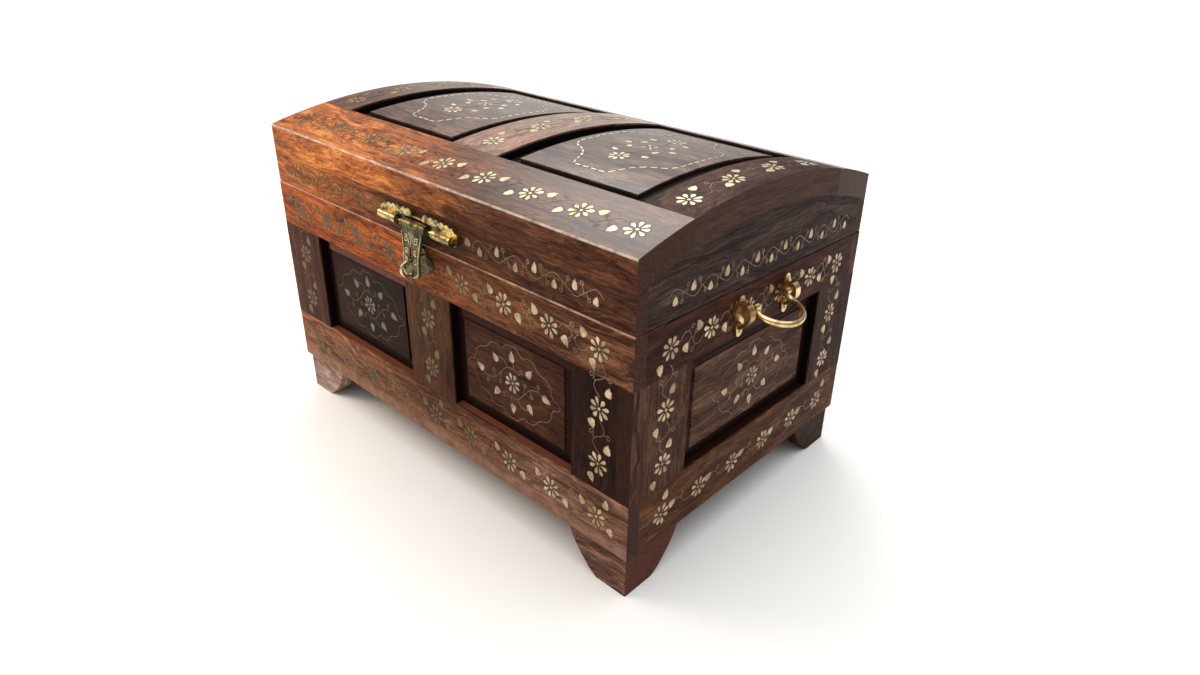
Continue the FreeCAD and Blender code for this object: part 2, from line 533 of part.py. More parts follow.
EASE = 0.03
for sx in (-1, 1):
    for dx, dz in SCREWS:
        x = sx * HINGE_X + dx
        drill("back_top_rail", cyl((x, HY - 8.0 - EASE, HINGE_Z - dz), (0, 1, 0), 1.6 + EASE, 12))
        drill("lid_back_board", cyl((x, LY - 8.0 - EASE, HINGE_Z + dz), (0, 1, 0), 1.6 + EASE, 12))
for x, z in SCREW_H:
    drill("lid_front_board", cyl((x, -LY - 3, z), (0, 1, 0), 1.1 + EASE, 3 + 6.0 + EASE))
for z in (zt, zb):
    drill("front_top_rail", cyl((0, -HY - 3, z), (0, 1, 0), STAPLE_R + EASE, 12 + EASE))
for side, nm in ((1, "right"), (-1, "left")):
    for yc in (H_C - H_Y, H_C + H_Y):
        for z in NAIL_Z:
            drill(nm + "_top_rail", cyl((side * (HX + 3), side * yc, z), (-side, 0, 0), 1.1 + EASE, 3 + 7.2 + EASE))

for name, shape in PIECES.items():
    shape.exportStep("parts/%s.step" % name)
    b = shape.BoundBox
    print("%-26s solids %d valid %s volume %.0f  x %.1f %.1f y %.1f %.1f z %.1f %.1f" % (
        name, len(shape.Solids), shape.isValid(), shape.Volume, b.XMin, b.XMax, b.YMin, b.YMax, b.ZMin, b.ZMax))
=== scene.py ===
import bpy
import math
import random
from mathutils import Vector, Matrix


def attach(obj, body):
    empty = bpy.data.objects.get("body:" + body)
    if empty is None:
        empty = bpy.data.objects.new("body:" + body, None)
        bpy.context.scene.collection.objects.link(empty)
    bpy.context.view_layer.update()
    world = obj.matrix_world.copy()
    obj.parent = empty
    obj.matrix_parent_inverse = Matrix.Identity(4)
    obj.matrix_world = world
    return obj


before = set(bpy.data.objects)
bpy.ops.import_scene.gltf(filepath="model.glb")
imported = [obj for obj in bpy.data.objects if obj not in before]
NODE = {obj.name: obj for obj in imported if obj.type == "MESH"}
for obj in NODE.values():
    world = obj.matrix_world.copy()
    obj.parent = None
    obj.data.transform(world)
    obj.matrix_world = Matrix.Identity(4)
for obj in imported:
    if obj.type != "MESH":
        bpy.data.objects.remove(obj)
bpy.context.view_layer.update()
SC = bpy.context.scene
rnd = random.Random(41)
MM = 0.001


# ------------------------------------------------------------------ camera, floor, light
def unit(*p):
    return Vector(p).normalized()


cam_data = bpy.data.cameras.new("camera")
cam = bpy.data.objects.new("camera", cam_data)
SC.collection.objects.link(cam)
fwd = unit(-0.5517616, 0.7127269, -0.4331045)
right = unit(0.7717803, 0.6331707, 0.0587364)
up = right.cross(fwd).normalized()
M = Matrix.Identity(4)
for row in range(3):
    M[row][0], M[row][1], M[row][2] = right[row], up[row], -fwd[row]
M.translation = Vector((0.5192087, -0.4881391, 0.4542699))
cam.matrix_world = M
cam_data.sensor_width = 36.0
cam_data.lens = 787.371 * 36.0 / 1200.0
cam_data.shift_x = (600.0 - 675.718) / 1200.0
cam_data.shift_y = (316.932 - 337.5) / 1200.0
cam_data.clip_start = 0.01
cam_data.clip_end = 200.0
cam_data.dof.use_dof = False
SC.camera = cam
SC.view_settings.view_transform = "Standard"
SC.view_settings.look = "None"


class Net:
    """Short way to write a node tree."""

    def __init__(self, name):
        self.mat = bpy.data.materials.new(name)
        self.mat.use_nodes = True
        self.t = self.mat.node_tree
        self.t.nodes.clear()
        self.out = self.t.nodes.new("ShaderNodeOutputMaterial")

    def node(self, kind, **kw):
        n = self.t.nodes.new(kind)
        for k, v in kw.items():
            setattr(n, k, v)
        return n

    def put(self, socket, v):
        if isinstance(v, bpy.types.NodeSocket):
            self.t.links.new(v, socket)
        elif v is not None:
            socket.default_value = v

    def math(self, op, a, b=None, c=None, clamp=False):
        n = self.node("ShaderNodeMath", operation=op, use_clamp=clamp)
        for i, v in enumerate((a, b, c)):
            self.put(n.inputs[i], v)
        return n.outputs[0]

    def vec(self, op, a, b=None):
        n = self.node("ShaderNodeVectorMath", operation=op)
        self.put(n.inputs[0], a)
        if b is not None:
            self.put(n.inputs["Scale"] if op == "SCALE" else n.inputs[1], b)
        return n.outputs["Value"] if op in ("LENGTH", "DISTANCE", "DOT_PRODUCT") else n.outputs[0]

    def xyz(self, v):
        n = self.node("ShaderNodeSeparateXYZ")
        self.put(n.inputs[0], v)
        return n.outputs

    def join(self, x, y, z):
        n = self.node("ShaderNodeCombineXYZ")
        for i, v in enumerate((x, y, z)):
            self.put(n.inputs[i], v)
        return n.outputs[0]

    def noise(self, v, scale=1.0, detail=2.0, rough=0.5, distort=0.0):
        n = self.node("ShaderNodeTexNoise")
        self.put(n.inputs["Vector"], v)
        n.inputs["Scale"].default_value = scale
        n.inputs["Detail"].default_value = detail
        n.inputs["Roughness"].default_value = rough
        n.inputs["Distortion"].default_value = distort
        return n.outputs["Fac"]

    def step(self, v, lo, hi, a=0.0, b=1.0, smooth=True):
        n = self.node("ShaderNodeMapRange")
        n.interpolation_type = "SMOOTHSTEP" if smooth else "LINEAR"
        self.put(n.inputs["Value"], v)
        n.inputs["From Min"].default_value = lo
        n.inputs["From Max"].default_value = hi
        n.inputs["To Min"].default_value = a
        n.inputs["To Max"].default_value = b
        return n.outputs["Result"]

    def mix(self, fac, a, b, blend="MIX"):
        n = self.node("ShaderNodeMix", data_type="RGBA", blend_type=blend)
        n.clamp_factor = True
        self.put(n.inputs["Factor"], fac)
        self.put(n.inputs[6], a if isinstance(a, bpy.types.NodeSocket) else (*a, 1.0))
        self.put(n.inputs[7], b if isinstance(b, bpy.types.NodeSocket) else (*b, 1.0))
        return n.outputs[2]

    def ramp(self, fac, stops):
        n = self.node("ShaderNodeValToRGB")
        cr = n.color_ramp
        while len(cr.elements) > 1:
            cr.elements.remove(cr.elements[-1])
        cr.elements[0].position = stops[0][0]
        cr.elements[0].color = (*stops[0][1], 1.0)
        for p, c in stops[1:]:
            e = cr.elements.new(p)
            e.color = (*c, 1.0)
        self.put(n.inputs["Fac"], fac)
        return n.outputs["Color"]

    def place(self):
        """The frame's own coordinates, in millimetres."""
        return self.vec("SCALE", self.node("ShaderNodeTexCoord").outputs["Object"], 1000.0)

    def bump(self, height, strength, dist, normal=None):
        n = self.node("ShaderNodeBump")
        n.inputs["Strength"].default_value = strength
        n.inputs["Distance"].default_value = dist
        self.put(n.inputs["Height"], height)
        if normal is not None:
            self.put(n.inputs["Normal"], normal)
        return n.outputs["Normal"]

    def shader(self, color, rough, metallic=0.0, spec=0.5, normal=None, coat=0.0, coat_rough=0.2):
        p = self.node("ShaderNodeBsdfPrincipled")
        self.put(p.inputs["Base Color"], color if isinstance(color, bpy.types.NodeSocket) else (*color, 1.0))
        self.put(p.inputs["Roughness"], rough)
        p.inputs["Metallic"].default_value = metallic
        p.inputs["Specular IOR Level"].default_value = spec
        p.inputs["Coat Weight"].default_value = coat
        p.inputs["Coat Roughness"].default_value = coat_rough
        if normal is not None:
            self.put(p.inputs["Normal"], normal)
        self.t.links.new(p.outputs[0], self.out.inputs["Surface"])
        return self.mat


# plain pale floor
fm = bpy.data.meshes.new("studio_floor")
fm.from_pydata([(-45, -45, 0), (45, -45, 0), (45, 45, 0), (-45, 45, 0)], [], [(0, 1, 2, 3)])
floor = bpy.data.objects.new("studio_floor", fm)
SC.collection.objects.link(floor)
net = Net("pale_floor")
fm.materials.append(net.shader((0.90, 0.895, 0.885), 0.85, spec=0.1))

world = bpy.data.worlds.new("studio")
SC.world = world
world.use_nodes = True
wt = world.node_tree
# soft dome: bright overhead, dim near the horizon, one wide soft window behind on the left
wc = wt.nodes.new("ShaderNodeTexCoord")
ws = wt.nodes.new("ShaderNodeSeparateXYZ")
wt.links.new(wc.outputs["Generated"], ws.inputs[0])


def world_range(v, lo, hi, a_, b_):
    n_ = wt.nodes.new("ShaderNodeMapRange")
    n_.interpolation_type = "SMOOTHSTEP"
    wt.links.new(v, n_.inputs["Value"])
    for k_, x_ in (("From Min", lo), ("From Max", hi), ("To Min", a_), ("To Max", b_)):
        n_.inputs[k_].default_value = x_
    return n_.outputs["Result"]


def world_lobe(az, el, inner, outer, power):
    a_, e_ = math.radians(az), math.radians(el)
    d_ = wt.nodes.new("ShaderNodeVectorMath")
    d_.operation = "DOT_PRODUCT"
    wt.links.new(wc.outputs["Generated"], d_.inputs[0])
    d_.inputs[1].default_value = (math.cos(a_) * math.cos(e_), math.sin(a_) * math.cos(e_), math.sin(e_))
    return world_range(d_.outputs["Value"], math.cos(math.radians(outer)), math.cos(math.radians(inner)), 0.0, power)


total = world_range(ws.outputs["Z"], 0.42, 1.0, 0.25, 2.35)
for lobe in (world_lobe(139, 42, 4, 18, 4.6), world_lobe(136, 10, 4, 18, 0.62)):
    n_ = wt.nodes.new("ShaderNodeMath")
    n_.operation = "ADD"
    wt.links.new(total, n_.inputs[0])
    wt.links.new(lobe, n_.inputs[1])
    total = n_.outputs[0]
wt.nodes["Background"].inputs[0].default_value = (1.0, 0.995, 0.985, 1.0)
wt.links.new(total, wt.nodes["Background"].inputs[1])


def area(name, at, to, w, h, power, color=(1, 1, 1)):
    d = bpy.data.lights.new(name, "AREA")
    d.shape = "RECTANGLE"
    d.size, d.size_y = w, h
    d.energy = power
    d.color = color
    o = bpy.data.objects.new(name, d)
    SC.collection.objects.link(o)
    o.location = at
    o.rotation_euler = (Vector(to) - Vector(at)).to_track_quat("-Z", "Y").to_euler()
    return o


area("key_left", (-0.62, -0.58, 0.62), (-0.12, -0.12, 0.20), 0.35, 0.35, 3.2, (1.0, 0.80, 0.60))


# ------------------------------------------------------------------ wood
DARK, MID, LIGHT = 0, 1, 2
# near-black: dark joint lines, and also painted shade laid into the recesses
BLACK = (0.0040, 0.0030, 0.0028)


def wood(name, grain, seed, tones, left=None, depth=None, seams=(), wear=(), rough=0.46, spec=0.035, coat=0.0,
         pith=(38.0, 62.0), ring=6.4, right_=None, inside=(0.060, 0.024, 0.012), faces=(), bevel=None):
    """Sheesham board. tones: dark, mid and light colour. left: the tones at the board's left end, partly the wood's own
    orange and partly painted warm light falling on the left end.
    depth: (kind, start, end, colour): painted shade laid on what lies between two depths below the face, the recess
    walls and margins where shade falls (on the front bottom rail a painted lit ledge colour instead); deeper it is
    plain wood.
    wear: edges (axis, place, axis, place) made lighter, partly rubbed and partly a painted highlight where a rounded
    edge catches light.
    faces: outer faces (axis, distance from the middle, colour) that have their own colour, such as end grain.
    bevel: painted highlight, the colour of a raised panel's upper sloping margin where light from above falls on it."""
    n = Net(name)
    p = n.place()
    x, y, z = n.xyz(p)
    along, b, c = {"X": (x, y, z), "Y": (y, z, x), "Z": (z, x, y)}[grain]
    r = random.Random(seed)
    o1, o2, o3 = (r.uniform(-900, 900) for _ in range(3))
    a = n.math("ADD", along, o1)
    # slow bends of the grain
    slow = n.join(n.math("MULTIPLY", a, 0.0085), n.math("MULTIPLY", b, 0.020), n.math("MULTIPLY", c, 0.020))
    w1 = n.math("MULTIPLY", n.math("SUBTRACT", n.noise(n.vec("ADD", slow, (o2, 0, 0)), 1.0, 3.0, 0.6), 0.5), 58.0)
    w2 = n.math("MULTIPLY", n.math("SUBTRACT", n.noise(n.vec("ADD", slow, (0, o3, 7.0)), 1.0, 3.0, 0.6), 0.5), 58.0)
    b1, c1 = n.math("MULTIPLY_ADD", w1, 0.35, b), n.math("MULTIPLY_ADD", w2, 0.35, c)
    bb = n.math("ADD", n.math("ADD", b, pith[0] * r.choice((-1, 1))), w1)
    cc = n.math("ADD", n.math("ADD", c, pith[1] + (-200.0 if grain != "Z" else 0.0)), w2)
    rad = n.math("SQRT", n.math("ADD", n.math("MULTIPLY", bb, bb), n.math("MULTIPLY", cc, cc)))
    rr = n.math("DIVIDE", rad, ring)
    band = n.noise(n.join(rr, n.math("MULTIPLY", a, 0.004), o3), 1.0, 4.0, 0.68)
    streak = n.noise(n.join(n.math("MULTIPLY", a, 0.021), n.math("MULTIPLY", b1, 0.40), n.math("MULTIPLY", c1, 0.40)), 1.0, 5.0, 0.70)
    fibre = n.noise(n.join(n.math("MULTIPLY", a, 0.085), n.math("MULTIPLY", b1, 1.25), n.math("MULTIPLY", c1, 1.25)), 1.0, 3.0, 0.65)
    pore = n.noise(n.join(n.math("MULTIPLY", a, 0.13), n.math("MULTIPLY", b1, 2.0), n.math("MULTIPLY", c1, 2.0)), 1.0, 1.0, 0.4)
    cloud = n.noise(n.join(n.math("MULTIPLY", a, 0.013), n.math("MULTIPLY", b, 0.030), n.math("MULTIPLY", c, 0.030)), 1.0, 4.0, 0.6)
    heart = n.noise(n.join(n.math("MULTIPLY", a, 0.016), n.math("MULTIPLY", b1, 0.085), n.math("ADD", n.math("MULTIPLY", c1, 0.085), o2)),
                    1.0, 4.0, 0.65, 0.5)
    f = n.math("MULTIPLY", n.step(band, 0.34, 0.66), 0.34)
    f = n.math("MULTIPLY_ADD", n.step(streak, 0.34, 0.66), 0.34, f)
    f = n.math("MULTIPLY_ADD", n.step(fibre, 0.32, 0.68), 0.20, f)
    f = n.math("MULTIPLY_ADD", n.step(cloud, 0.3, 0.7), 0.12, f)
    stops = lambda t: [(0.24, t[DARK]), (0.47, t[MID]), (0.53, t[MID]), (0.76, t[LIGHT])]
    col = n.ramp(f, stops(tones))
    # painted light in part: the left end blends to orange tones that are partly the wood's own colour and partly warm
    # light painted on
    if left:
        tl, x0, x1 = left
        wob = n.math("MULTIPLY_ADD", n.math("SUBTRACT", cloud, 0.5), 190.0, x)
        wob = n.math("MULTIPLY_ADD", n.math("SUBTRACT", heart, 0.5), 90.0, wob)
        col = n.mix(n.step(wob, x0, x1), n.ramp(f, stops(tl)), col)
    if right_:
        tr, x0, x1 = right_
        wob = n.math("MULTIPLY_ADD", n.math("SUBTRACT", cloud, 0.5), 60.0, x)
        col = n.mix(n.step(wob, x0, x1), col, n.ramp(f, stops(tr)))
    # dark heartwood flames, then the open pores
    col = n.mix(n.math("MULTIPLY", n.step(heart, 0.55, 0.66), 0.42), col, tuple(v * 0.36 for v in tones[MID]))
    col = n.mix(n.math("MULTIPLY", n.step(pore, 0.55, 0.64), 0.55), col, tuple(v * 0.14 for v in tones[MID]))
    # lighter edges: partly rubbed, partly painted highlight along the rounded edges
    for ax, v, bx, w, tint, wide in wear:
        q = {"x": x, "y": y, "z": z}
        if ax == "r":
            e1 = n.math("SUBTRACT", n.math("SQRT", n.math("ADD", n.math("MULTIPLY", y, y), n.math("POWER", n.math("ADD", z, 202.0), 2.0))), v)
        else:
            e1 = n.math("SUBTRACT", q[ax], v)
        e2 = n.math("SUBTRACT", q[bx], w)
        d = n.math("SQRT", n.math("ADD", n.math("MULTIPLY", e1, e1), n.math("MULTIPLY", e2, e2)))
        patchy = n.step(n.noise(p, 0.09, 4.0, 0.7), 0.36, 0.62)
        m = n.math("MULTIPLY", n.step(d, wide * 0.4, wide, 1.0, 0.0), n.math("MULTIPLY_ADD", patchy, 0.55, 0.35))
        col = n.mix(m, col, tint)
    for ax, v in seams:
        q = {"x": x, "y": y, "z": z}[ax]
        d = n.math("ABSOLUTE", n.math("SUBTRACT", q, v))
        col = n.mix(n.step(d, 0.12, 0.5, 0.75, 0.0), col, BLACK)
    grainy = n.step(n.math("MULTIPLY_ADD", fibre, 0.5, n.math("MULTIPLY", streak, 0.5)), 0.34, 0.66)
    for ax, v, shade in faces:
        q = n.math("ABSOLUTE", {"x": x, "y": y, "z": z}[ax])
        m = n.step(n.math("ABSOLUTE", n.math("SUBTRACT", q, v)), 0.2, 0.45, 1.0, 0.0)
        own = n.mix(grainy, tuple(k * 0.5 for k in shade), tuple(k * 1.5 for k in shade))
        col = n.mix(m, col, own)
    # painted shade: faces sunk below the outer face take a dark colour that stands in for the shade in the recesses
    if depth:
        kind, start, end, dark = depth
        ex = n.math("SUBTRACT", 228.5, n.math("ABSOLUTE", x))
        ey = n.math("SUBTRACT", 152.5, n.math("ABSOLUTE", y))
        if kind == "face":
            d = n.math("MINIMUM", ex, ey)
        else:
            d = n.math("SUBTRACT", 503.0, n.math("SQRT", n.math("ADD", n.math("MULTIPLY", y, y), n.math("POWER", n.math("ADD", z, 202.0), 2.0))))
            inner = n.step(n.math("MINIMUM", ex, ey), 0.9, 1.6)
            d = n.math("MULTIPLY", d, inner)
        plain = n.mix(n.step(f, 0.2, 0.8), tuple(v * 0.5 for v in inside), tuple(v * 1.4 for v in inside))
        col = n.mix(n.step(d, start, start + 1.2), col, dark)
        col = n.mix(n.step(d, end, end + 0.4), col, plain)
        if kind == "face":
            # the rim under the lid is bare wood
            col = n.mix(n.math("MULTIPLY", n.step(z, 223.8, 224.1), n.step(d, 1.4, 2.0)), col, plain)
        # painted highlight: the raised panel's upper slope is lighter where light from above falls on it, lighter on
        # the left panel than the right
        if bevel:
            m = n.math("MULTIPLY", n.math("MULTIPLY", n.step(d, 5.4, 5.9), n.step(d, 7.0, 7.7, 1.0, 0.0)), n.step(z, 170.5, 172.0))
            own = n.mix(grainy, tuple(k * 0.6 for k in bevel), tuple(k * 1.4 for k in bevel))
            col = n.mix(m, col, own)
    rg = n.math("MULTIPLY_ADD", fibre, 0.16, rough - 0.08)
    h = n.math("MULTIPLY_ADD", n.step(pore, 0.58, 0.74), -0.9, n.math("MULTIPLY", fibre, 0.7))
    nm = n.bump(h, 0.30, 0.0002)
    mat = n.shader(col, rg, spec=spec, normal=nm, coat=coat, coat_rough=0.20)
    if coat:
        # only the arched top is lacquered
        r2 = n.math("SQRT", n.math("ADD", n.math("MULTIPLY", y, y), n.math("POWER", n.math("ADD", z, 202.0), 2.0)))
        top = n.math("MULTIPLY", n.step(r2, 499.3, 500.2), n.step(n.math("ABSOLUTE", x), 227.4, 227.8, 1.0, 0.0))
        top = n.math("MULTIPLY", top, n.step(n.math("ABSOLUTE", y), 151.5, 151.85, 1.0, 0.0))
        sh = [q_ for q_ in n.t.nodes if q_.type == "BSDF_PRINCIPLED"][0]
        n.put(sh.inputs["Coat Weight"], n.math("MULTIPLY", top, coat))
    return mat


def tone(r, g, b, k=0.34, j=2.0):
    """Dark, mid and light tones round one colour; the dark one is redder."""
    return ((r * k, g * k * 0.84, b * k * 0.84), (r, g, b), (r * j, g * j * 1.08, b * j * 1.08))


FACE = lambda start, end, dark: ("face", start, end, dark)
# top front edge of the case: rubbed, with a painted highlight
RIM_WEAR_AND_HIGHLIGHT = (0.52, 0.32, 0.23)
BOARDS = {}
# orange tones, partly wood colour and partly painted warm light at the left end
ORANGE_AND_WARM_LIGHT = ((0.10, 0.026, 0.007), (0.30, 0.088, 0.020), (0.56, 0.20, 0.050))
LIDWOOD = dict(coat=0.56, rough=0.40, spec=0.10)
GRAIN_END = [("x", 228.5, (0.050, 0.022, 0.0155))]
# painted shade round the raised panels, in the grooves
GROOVE_SHADE = (0.012, 0.0045, 0.0035)
# the recess colour of the front bottom rail is a painted lit ledge; on the other boards it is painted shade
BOARDS["front_bottom_rail"] = dict(grain="X", tones=tone(0.125, 0.048, 0.023), left=(tone(0.230, 0.083, 0.036), -190, 20),
                                   right_=(tone(0.185, 0.086, 0.053), 50, 150), faces=GRAIN_END,
                                   depth=FACE(0.9, 9.0, (0.140, 0.048, 0.026)),
                                   # painted highlight along the rail's lower front edge
                                   wear=[("y", -152.5, "z", 38.5, (0.27, 0.150, 0.100), 17.0)])
BOARDS["front_top_rail"] = dict(grain="X", tones=tone(0.122, 0.041, 0.0145), left=(tone(0.285, 0.066, 0.0105), -70, 80),
                                right_=(tone(0.126, 0.050, 0.023), 90, 165), faces=GRAIN_END,
                                depth=FACE(0.9, 9.0, BLACK), wear=[("y", -152.5, "z", 224.3, RIM_WEAR_AND_HIGHLIGHT, 1.6)])
BOARDS["front_left_stile"] = dict(grain="Z", tones=tone(0.047, 0.0115, 0.0036), depth=FACE(0.9, 9.0, BLACK))
BOARDS["front_middle_stile"] = dict(grain="Z", tones=tone(0.068, 0.024, 0.0085), depth=FACE(0.9, 9.0, BLACK))
BOARDS["front_right_stile"] = dict(grain="Z", tones=tone(0.020, 0.0056, 0.0028), depth=FACE(0.9, 9.0, BLACK))
BOARDS["front_left_panel"] = dict(grain="X", tones=tone(0.0165, 0.0046, 0.0022), depth=FACE(5.9, 9.0, GROOVE_SHADE), bevel=(0.150, 0.060, 0.048))
BOARDS["front_right_panel"] = dict(grain="X", tones=tone(0.050, 0.0165, 0.0075), depth=FACE(5.9, 9.0, GROOVE_SHADE), bevel=(0.034, 0.014, 0.010))
BOARDS["right_bottom_rail"] = dict(grain="Y", tones=tone(0.086, 0.034, 0.0155), depth=FACE(0.9, 9.0, (0.016, 0.006, 0.004)))
BOARDS["right_top_rail"] = dict(grain="Y", tones=tone(0.041, 0.0130, 0.0086), depth=FACE(0.9, 9.0, BLACK))
BOARDS["right_front_stile"] = dict(grain="Z", tones=tone(0.060, 0.0265, 0.0160), depth=FACE(0.9, 9.0, BLACK),
                                   faces=[("y", 152.5, (0.028, 0.0100, 0.0055))])
BOARDS["right_back_stile"] = dict(grain="Z", tones=tone(0.040, 0.0140, 0.0090), depth=FACE(0.9, 9.0, BLACK))
BOARDS["right_panel"] = dict(grain="Y", tones=tone(0.084, 0.039, 0.0240), depth=FACE(5.9, 9.0, GROOVE_SHADE))
for side in ("left", "back"):
    for n_, t_ in (("bottom_rail", (0.090, 0.034, 0.016)), ("top_rail", (0.068, 0.023, 0.010)), ("front_stile", (0.066, 0.022, 0.010)),
                   ("back_stile", (0.058, 0.020, 0.010)), ("left_stile", (0.058, 0.020, 0.010)), ("middle_stile", (0.064, 0.023, 0.010)),
                   ("right_stile", (0.052, 0.019, 0.010)), ("panel", (0.042, 0.015, 0.009)), ("left_panel", (0.040, 0.014, 0.008)),
                   ("right_panel", (0.044, 0.016, 0.009))):
        nm_ = "%s_%s" % (side, n_)
        if nm_ in NODE:
            g_ = "Z" if "stile" in n_ else ("Y" if side == "left" else "X")
            BOARDS[nm_] = dict(grain=g_, tones=tone(*t_), depth=FACE(5.9 if "panel" in n_ else 0.9, 9.0, GROOVE_SHADE if "panel" in n_ else BLACK))
BOARDS["floor_board"] = dict(grain="X", tones=tone(0.10, 0.045, 0.022), rough=0.6)
BOARDS["foot_front_left"] = dict(grain="X", tones=tone(0.290, 0.190, 0.150))
BOARDS["foot_front_right"] = dict(grain="X", tones=tone(0.140, 0.066, 0.046), faces=[("x", 225.5, (0.092, 0.034, 0.021))])
BOARDS["foot_back_right"] = dict(grain="X", tones=tone(0.036, 0.0130, 0.0080))
BOARDS["foot_back_left"] = dict(grain="X", tones=tone(0.085, 0.036, 0.019))
LIDEND = [("x", 228.0, (0.048, 0.021, 0.0150))]
BOARDS["lid_front_board"] = dict(grain="X", tones=tone(0.068, 0.0215, 0.0088), left=(ORANGE_AND_WARM_LIGHT, -190, -15),
                                 right_=(tone(0.085, 0.0315, 0.0155), 90, 170), faces=LIDEND)
BOARDS["lid_back_board"] = dict(grain="X", tones=tone(0.062, 0.023, 0.011), faces=LIDEND)
BOARDS["lid_right_end_board"] = dict(grain="Y", tones=tone(0.042, 0.0240, 0.0200))
BOARDS["lid_left_end_board"] = dict(grain="Y", tones=tone(0.074, 0.028, 0.013))
BOARDS["lid_front_rail"] = dict(grain="X", tones=tone(0.086, 0.0300, 0.0130), left=(tuple(tuple(k * 1.4 for k in c) for c in ORANGE_AND_WARM_LIGHT), -85, 85), depth=("arch", 0.9, 9.0, BLACK),
                                # painted highlight: the glint along the lid's top front edge
                                wear=[("r", 502.3, "y", -151.6, (0.62, 0.50, 0.42), 1.1)], faces=LIDEND, coat=0.56, rough=0.40, spec=0.04)
BOARDS["lid_back_rail"] = dict(grain="X", tones=tone(0.075, 0.032, 0.020), depth=("arch", 0.9, 9.0, BLACK), faces=LIDEND, **LIDWOOD)
BOARDS["lid_left_rib"] = dict(grain="Y", tones=tone(0.105, 0.044, 0.024), depth=("arch", 0.9, 9.0, BLACK), faces=LIDEND, **LIDWOOD)
BOARDS["lid_middle_rib"] = dict(grain="Y", tones=tone(0.200, 0.100, 0.060), depth=("arch", 0.9, 9.0, BLACK), **LIDWOOD)
BOARDS["lid_right_rib"] = dict(grain="Y", tones=tone(0.060, 0.029, 0.022), depth=("arch", 0.9, 9.0, BLACK), rough=0.44,
                               faces=[("x", 228.0, (0.058, 0.028, 0.023))])
# painted shade in the recess round each lid panel
BOARDS["lid_left_panel"] = dict(grain="X", tones=tone(0.105, 0.058, 0.040), depth=("arch", 2.9, 9.3, (0.016, 0.011, 0.010)), **LIDWOOD)
BOARDS["lid_right_panel"] = dict(grain="X", tones=tone(0.115, 0.066, 0.046), depth=("arch", 2.9, 9.3, (0.016, 0.011, 0.010)), **LIDWOOD)


def dress(node, mat):
    me = NODE[node].data
    me.materials.clear()
    me.materials.append(mat)


for i, (name, kw) in enumerate(sorted(BOARDS.items())):
    dress(name, wood("sheesham_" + name, seed=100 + i, **kw))


# ------------------------------------------------------------------ brass
def brass(name, base, dull, rough, patina=0.45, pits=0.0, spread=0.06, seed=0.0, cast=0.0, olive=None):
    """Cast or sheet brass: bright metal that goes dull and brown in patches. olive: (x from, x to, colour) of the
    darker olive stretch at the left, partly tarnish and partly painted dark reflection."""
    n = Net(name)
    p = n.vec("ADD", n.place(), (seed, seed * 0.7, -seed))
    big = n.noise(p, spread, 3.0, 0.6)
    fine = n.noise(p, 1.4, 3.0, 0.6)
    m = n.math("MULTIPLY", n.step(n.math("MULTIPLY_ADD", fine, 0.35, big), 0.52, 0.82), patina)
    col = n.mix(m, base, dull)
    # painted reflection in part: the olive stretch darkens the brass as dark surroundings would, besides real tarnish
    if olive:
        xx = n.xyz(n.place())[0]
        xx = n.math("MULTIPLY_ADD", n.math("SUBTRACT", n.noise(p, 0.03, 3.0, 0.6), 0.5), 150.0, xx)
        tarnish_and_dark_reflection = n.mix(n.step(big, 0.4, 0.7), olive[2], tuple(v * 1.8 for v in olive[2]))
        col = n.mix(n.step(xx, olive[0], olive[1]), tarnish_and_dark_reflection, col)
    rg = n.math("MULTIPLY_ADD", fine, 0.20, n.math("MULTIPLY_ADD", m, 0.22, rough - 0.10))
    h = n.math("MULTIPLY_ADD", fine, 0.5, n.math("MULTIPLY", n.noise(p, 0.22, 2.0, 0.5), cast))
    nm = n.bump(h, 0.25 + pits, 0.0002)
    return n.shader(col, rg, metallic=1.0, normal=nm)


# separate brass copies per surface, brighter on the lid top and darker on the case front and its panels: painted light
# and shade; the hasp leaf's dark base is partly patina, partly painted dark reflection
POLISHED = brass("brass_polished", (0.84, 0.62, 0.32), (0.26, 0.14, 0.05), 0.17, 0.80, -0.1, 0.07, 3.0, 0.3)
CAST = brass("brass_antique", (0.150, 0.120, 0.052), (0.022, 0.018, 0.009), 0.33, 0.90, 0.2, 0.16, 11.0, 0.8)
BARREL = brass("brass_barrel", (0.56, 0.44, 0.19), (0.065, 0.055, 0.025), 0.24, 0.95, 0.0, 0.10, 15.0, 0.4)
RIDGE = brass("brass_ridge", (0.74, 0.64, 0.38), (0.32, 0.27, 0.14), 0.28, 0.80, 0.0, 0.20, 19.0, 0.2)
RING = brass("brass_ring", (0.86, 0.70, 0.43), (0.34, 0.26, 0.12), 0.20, 0.80, -0.1, 0.12, 29.0, 0.2)
HINGE = brass("brass_hinge", (0.62, 0.45, 0.21), (0.26, 0.16, 0.07), 0.36, 0.6, 0.1, 0.05, 23.0)
SHEET = brass("brass_sheet", (0.60, 0.45, 0.31), (0.34, 0.26, 0.12), 0.42, 1.0, 0.1, 0.10, 37.0, olive=(10.0, 150.0, (0.125, 0.080, 0.032)))
LIDSHEET = brass("brass_sheet_lid", (0.74, 0.66, 0.46), (0.46, 0.38, 0.20), 0.36, 0.8, 0.1, 0.08, 51.0, olive=(-110.0, 70.0, (0.24, 0.15, 0.05)))
SIDESHEET = brass("brass_sheet_end", (0.62, 0.44, 0.28), (0.34, 0.25, 0.14), 0.42, 0.9, 0.1, 0.08, 61.0)
FIELDSHEET = brass("brass_sheet_panel", (0.46, 0.36, 0.27), (0.28, 0.21, 0.13), 0.42, 1.0, 0.1, 0.10, 41.0, olive=(-60.0, 60.0, (0.135, 0.105, 0.075)))
PANELSHEET = brass("brass_sheet_lid_panel", (0.66, 0.58, 0.46), (0.50, 0.42, 0.26), 0.36, 0.8, 0.1, 0.08, 57.0)
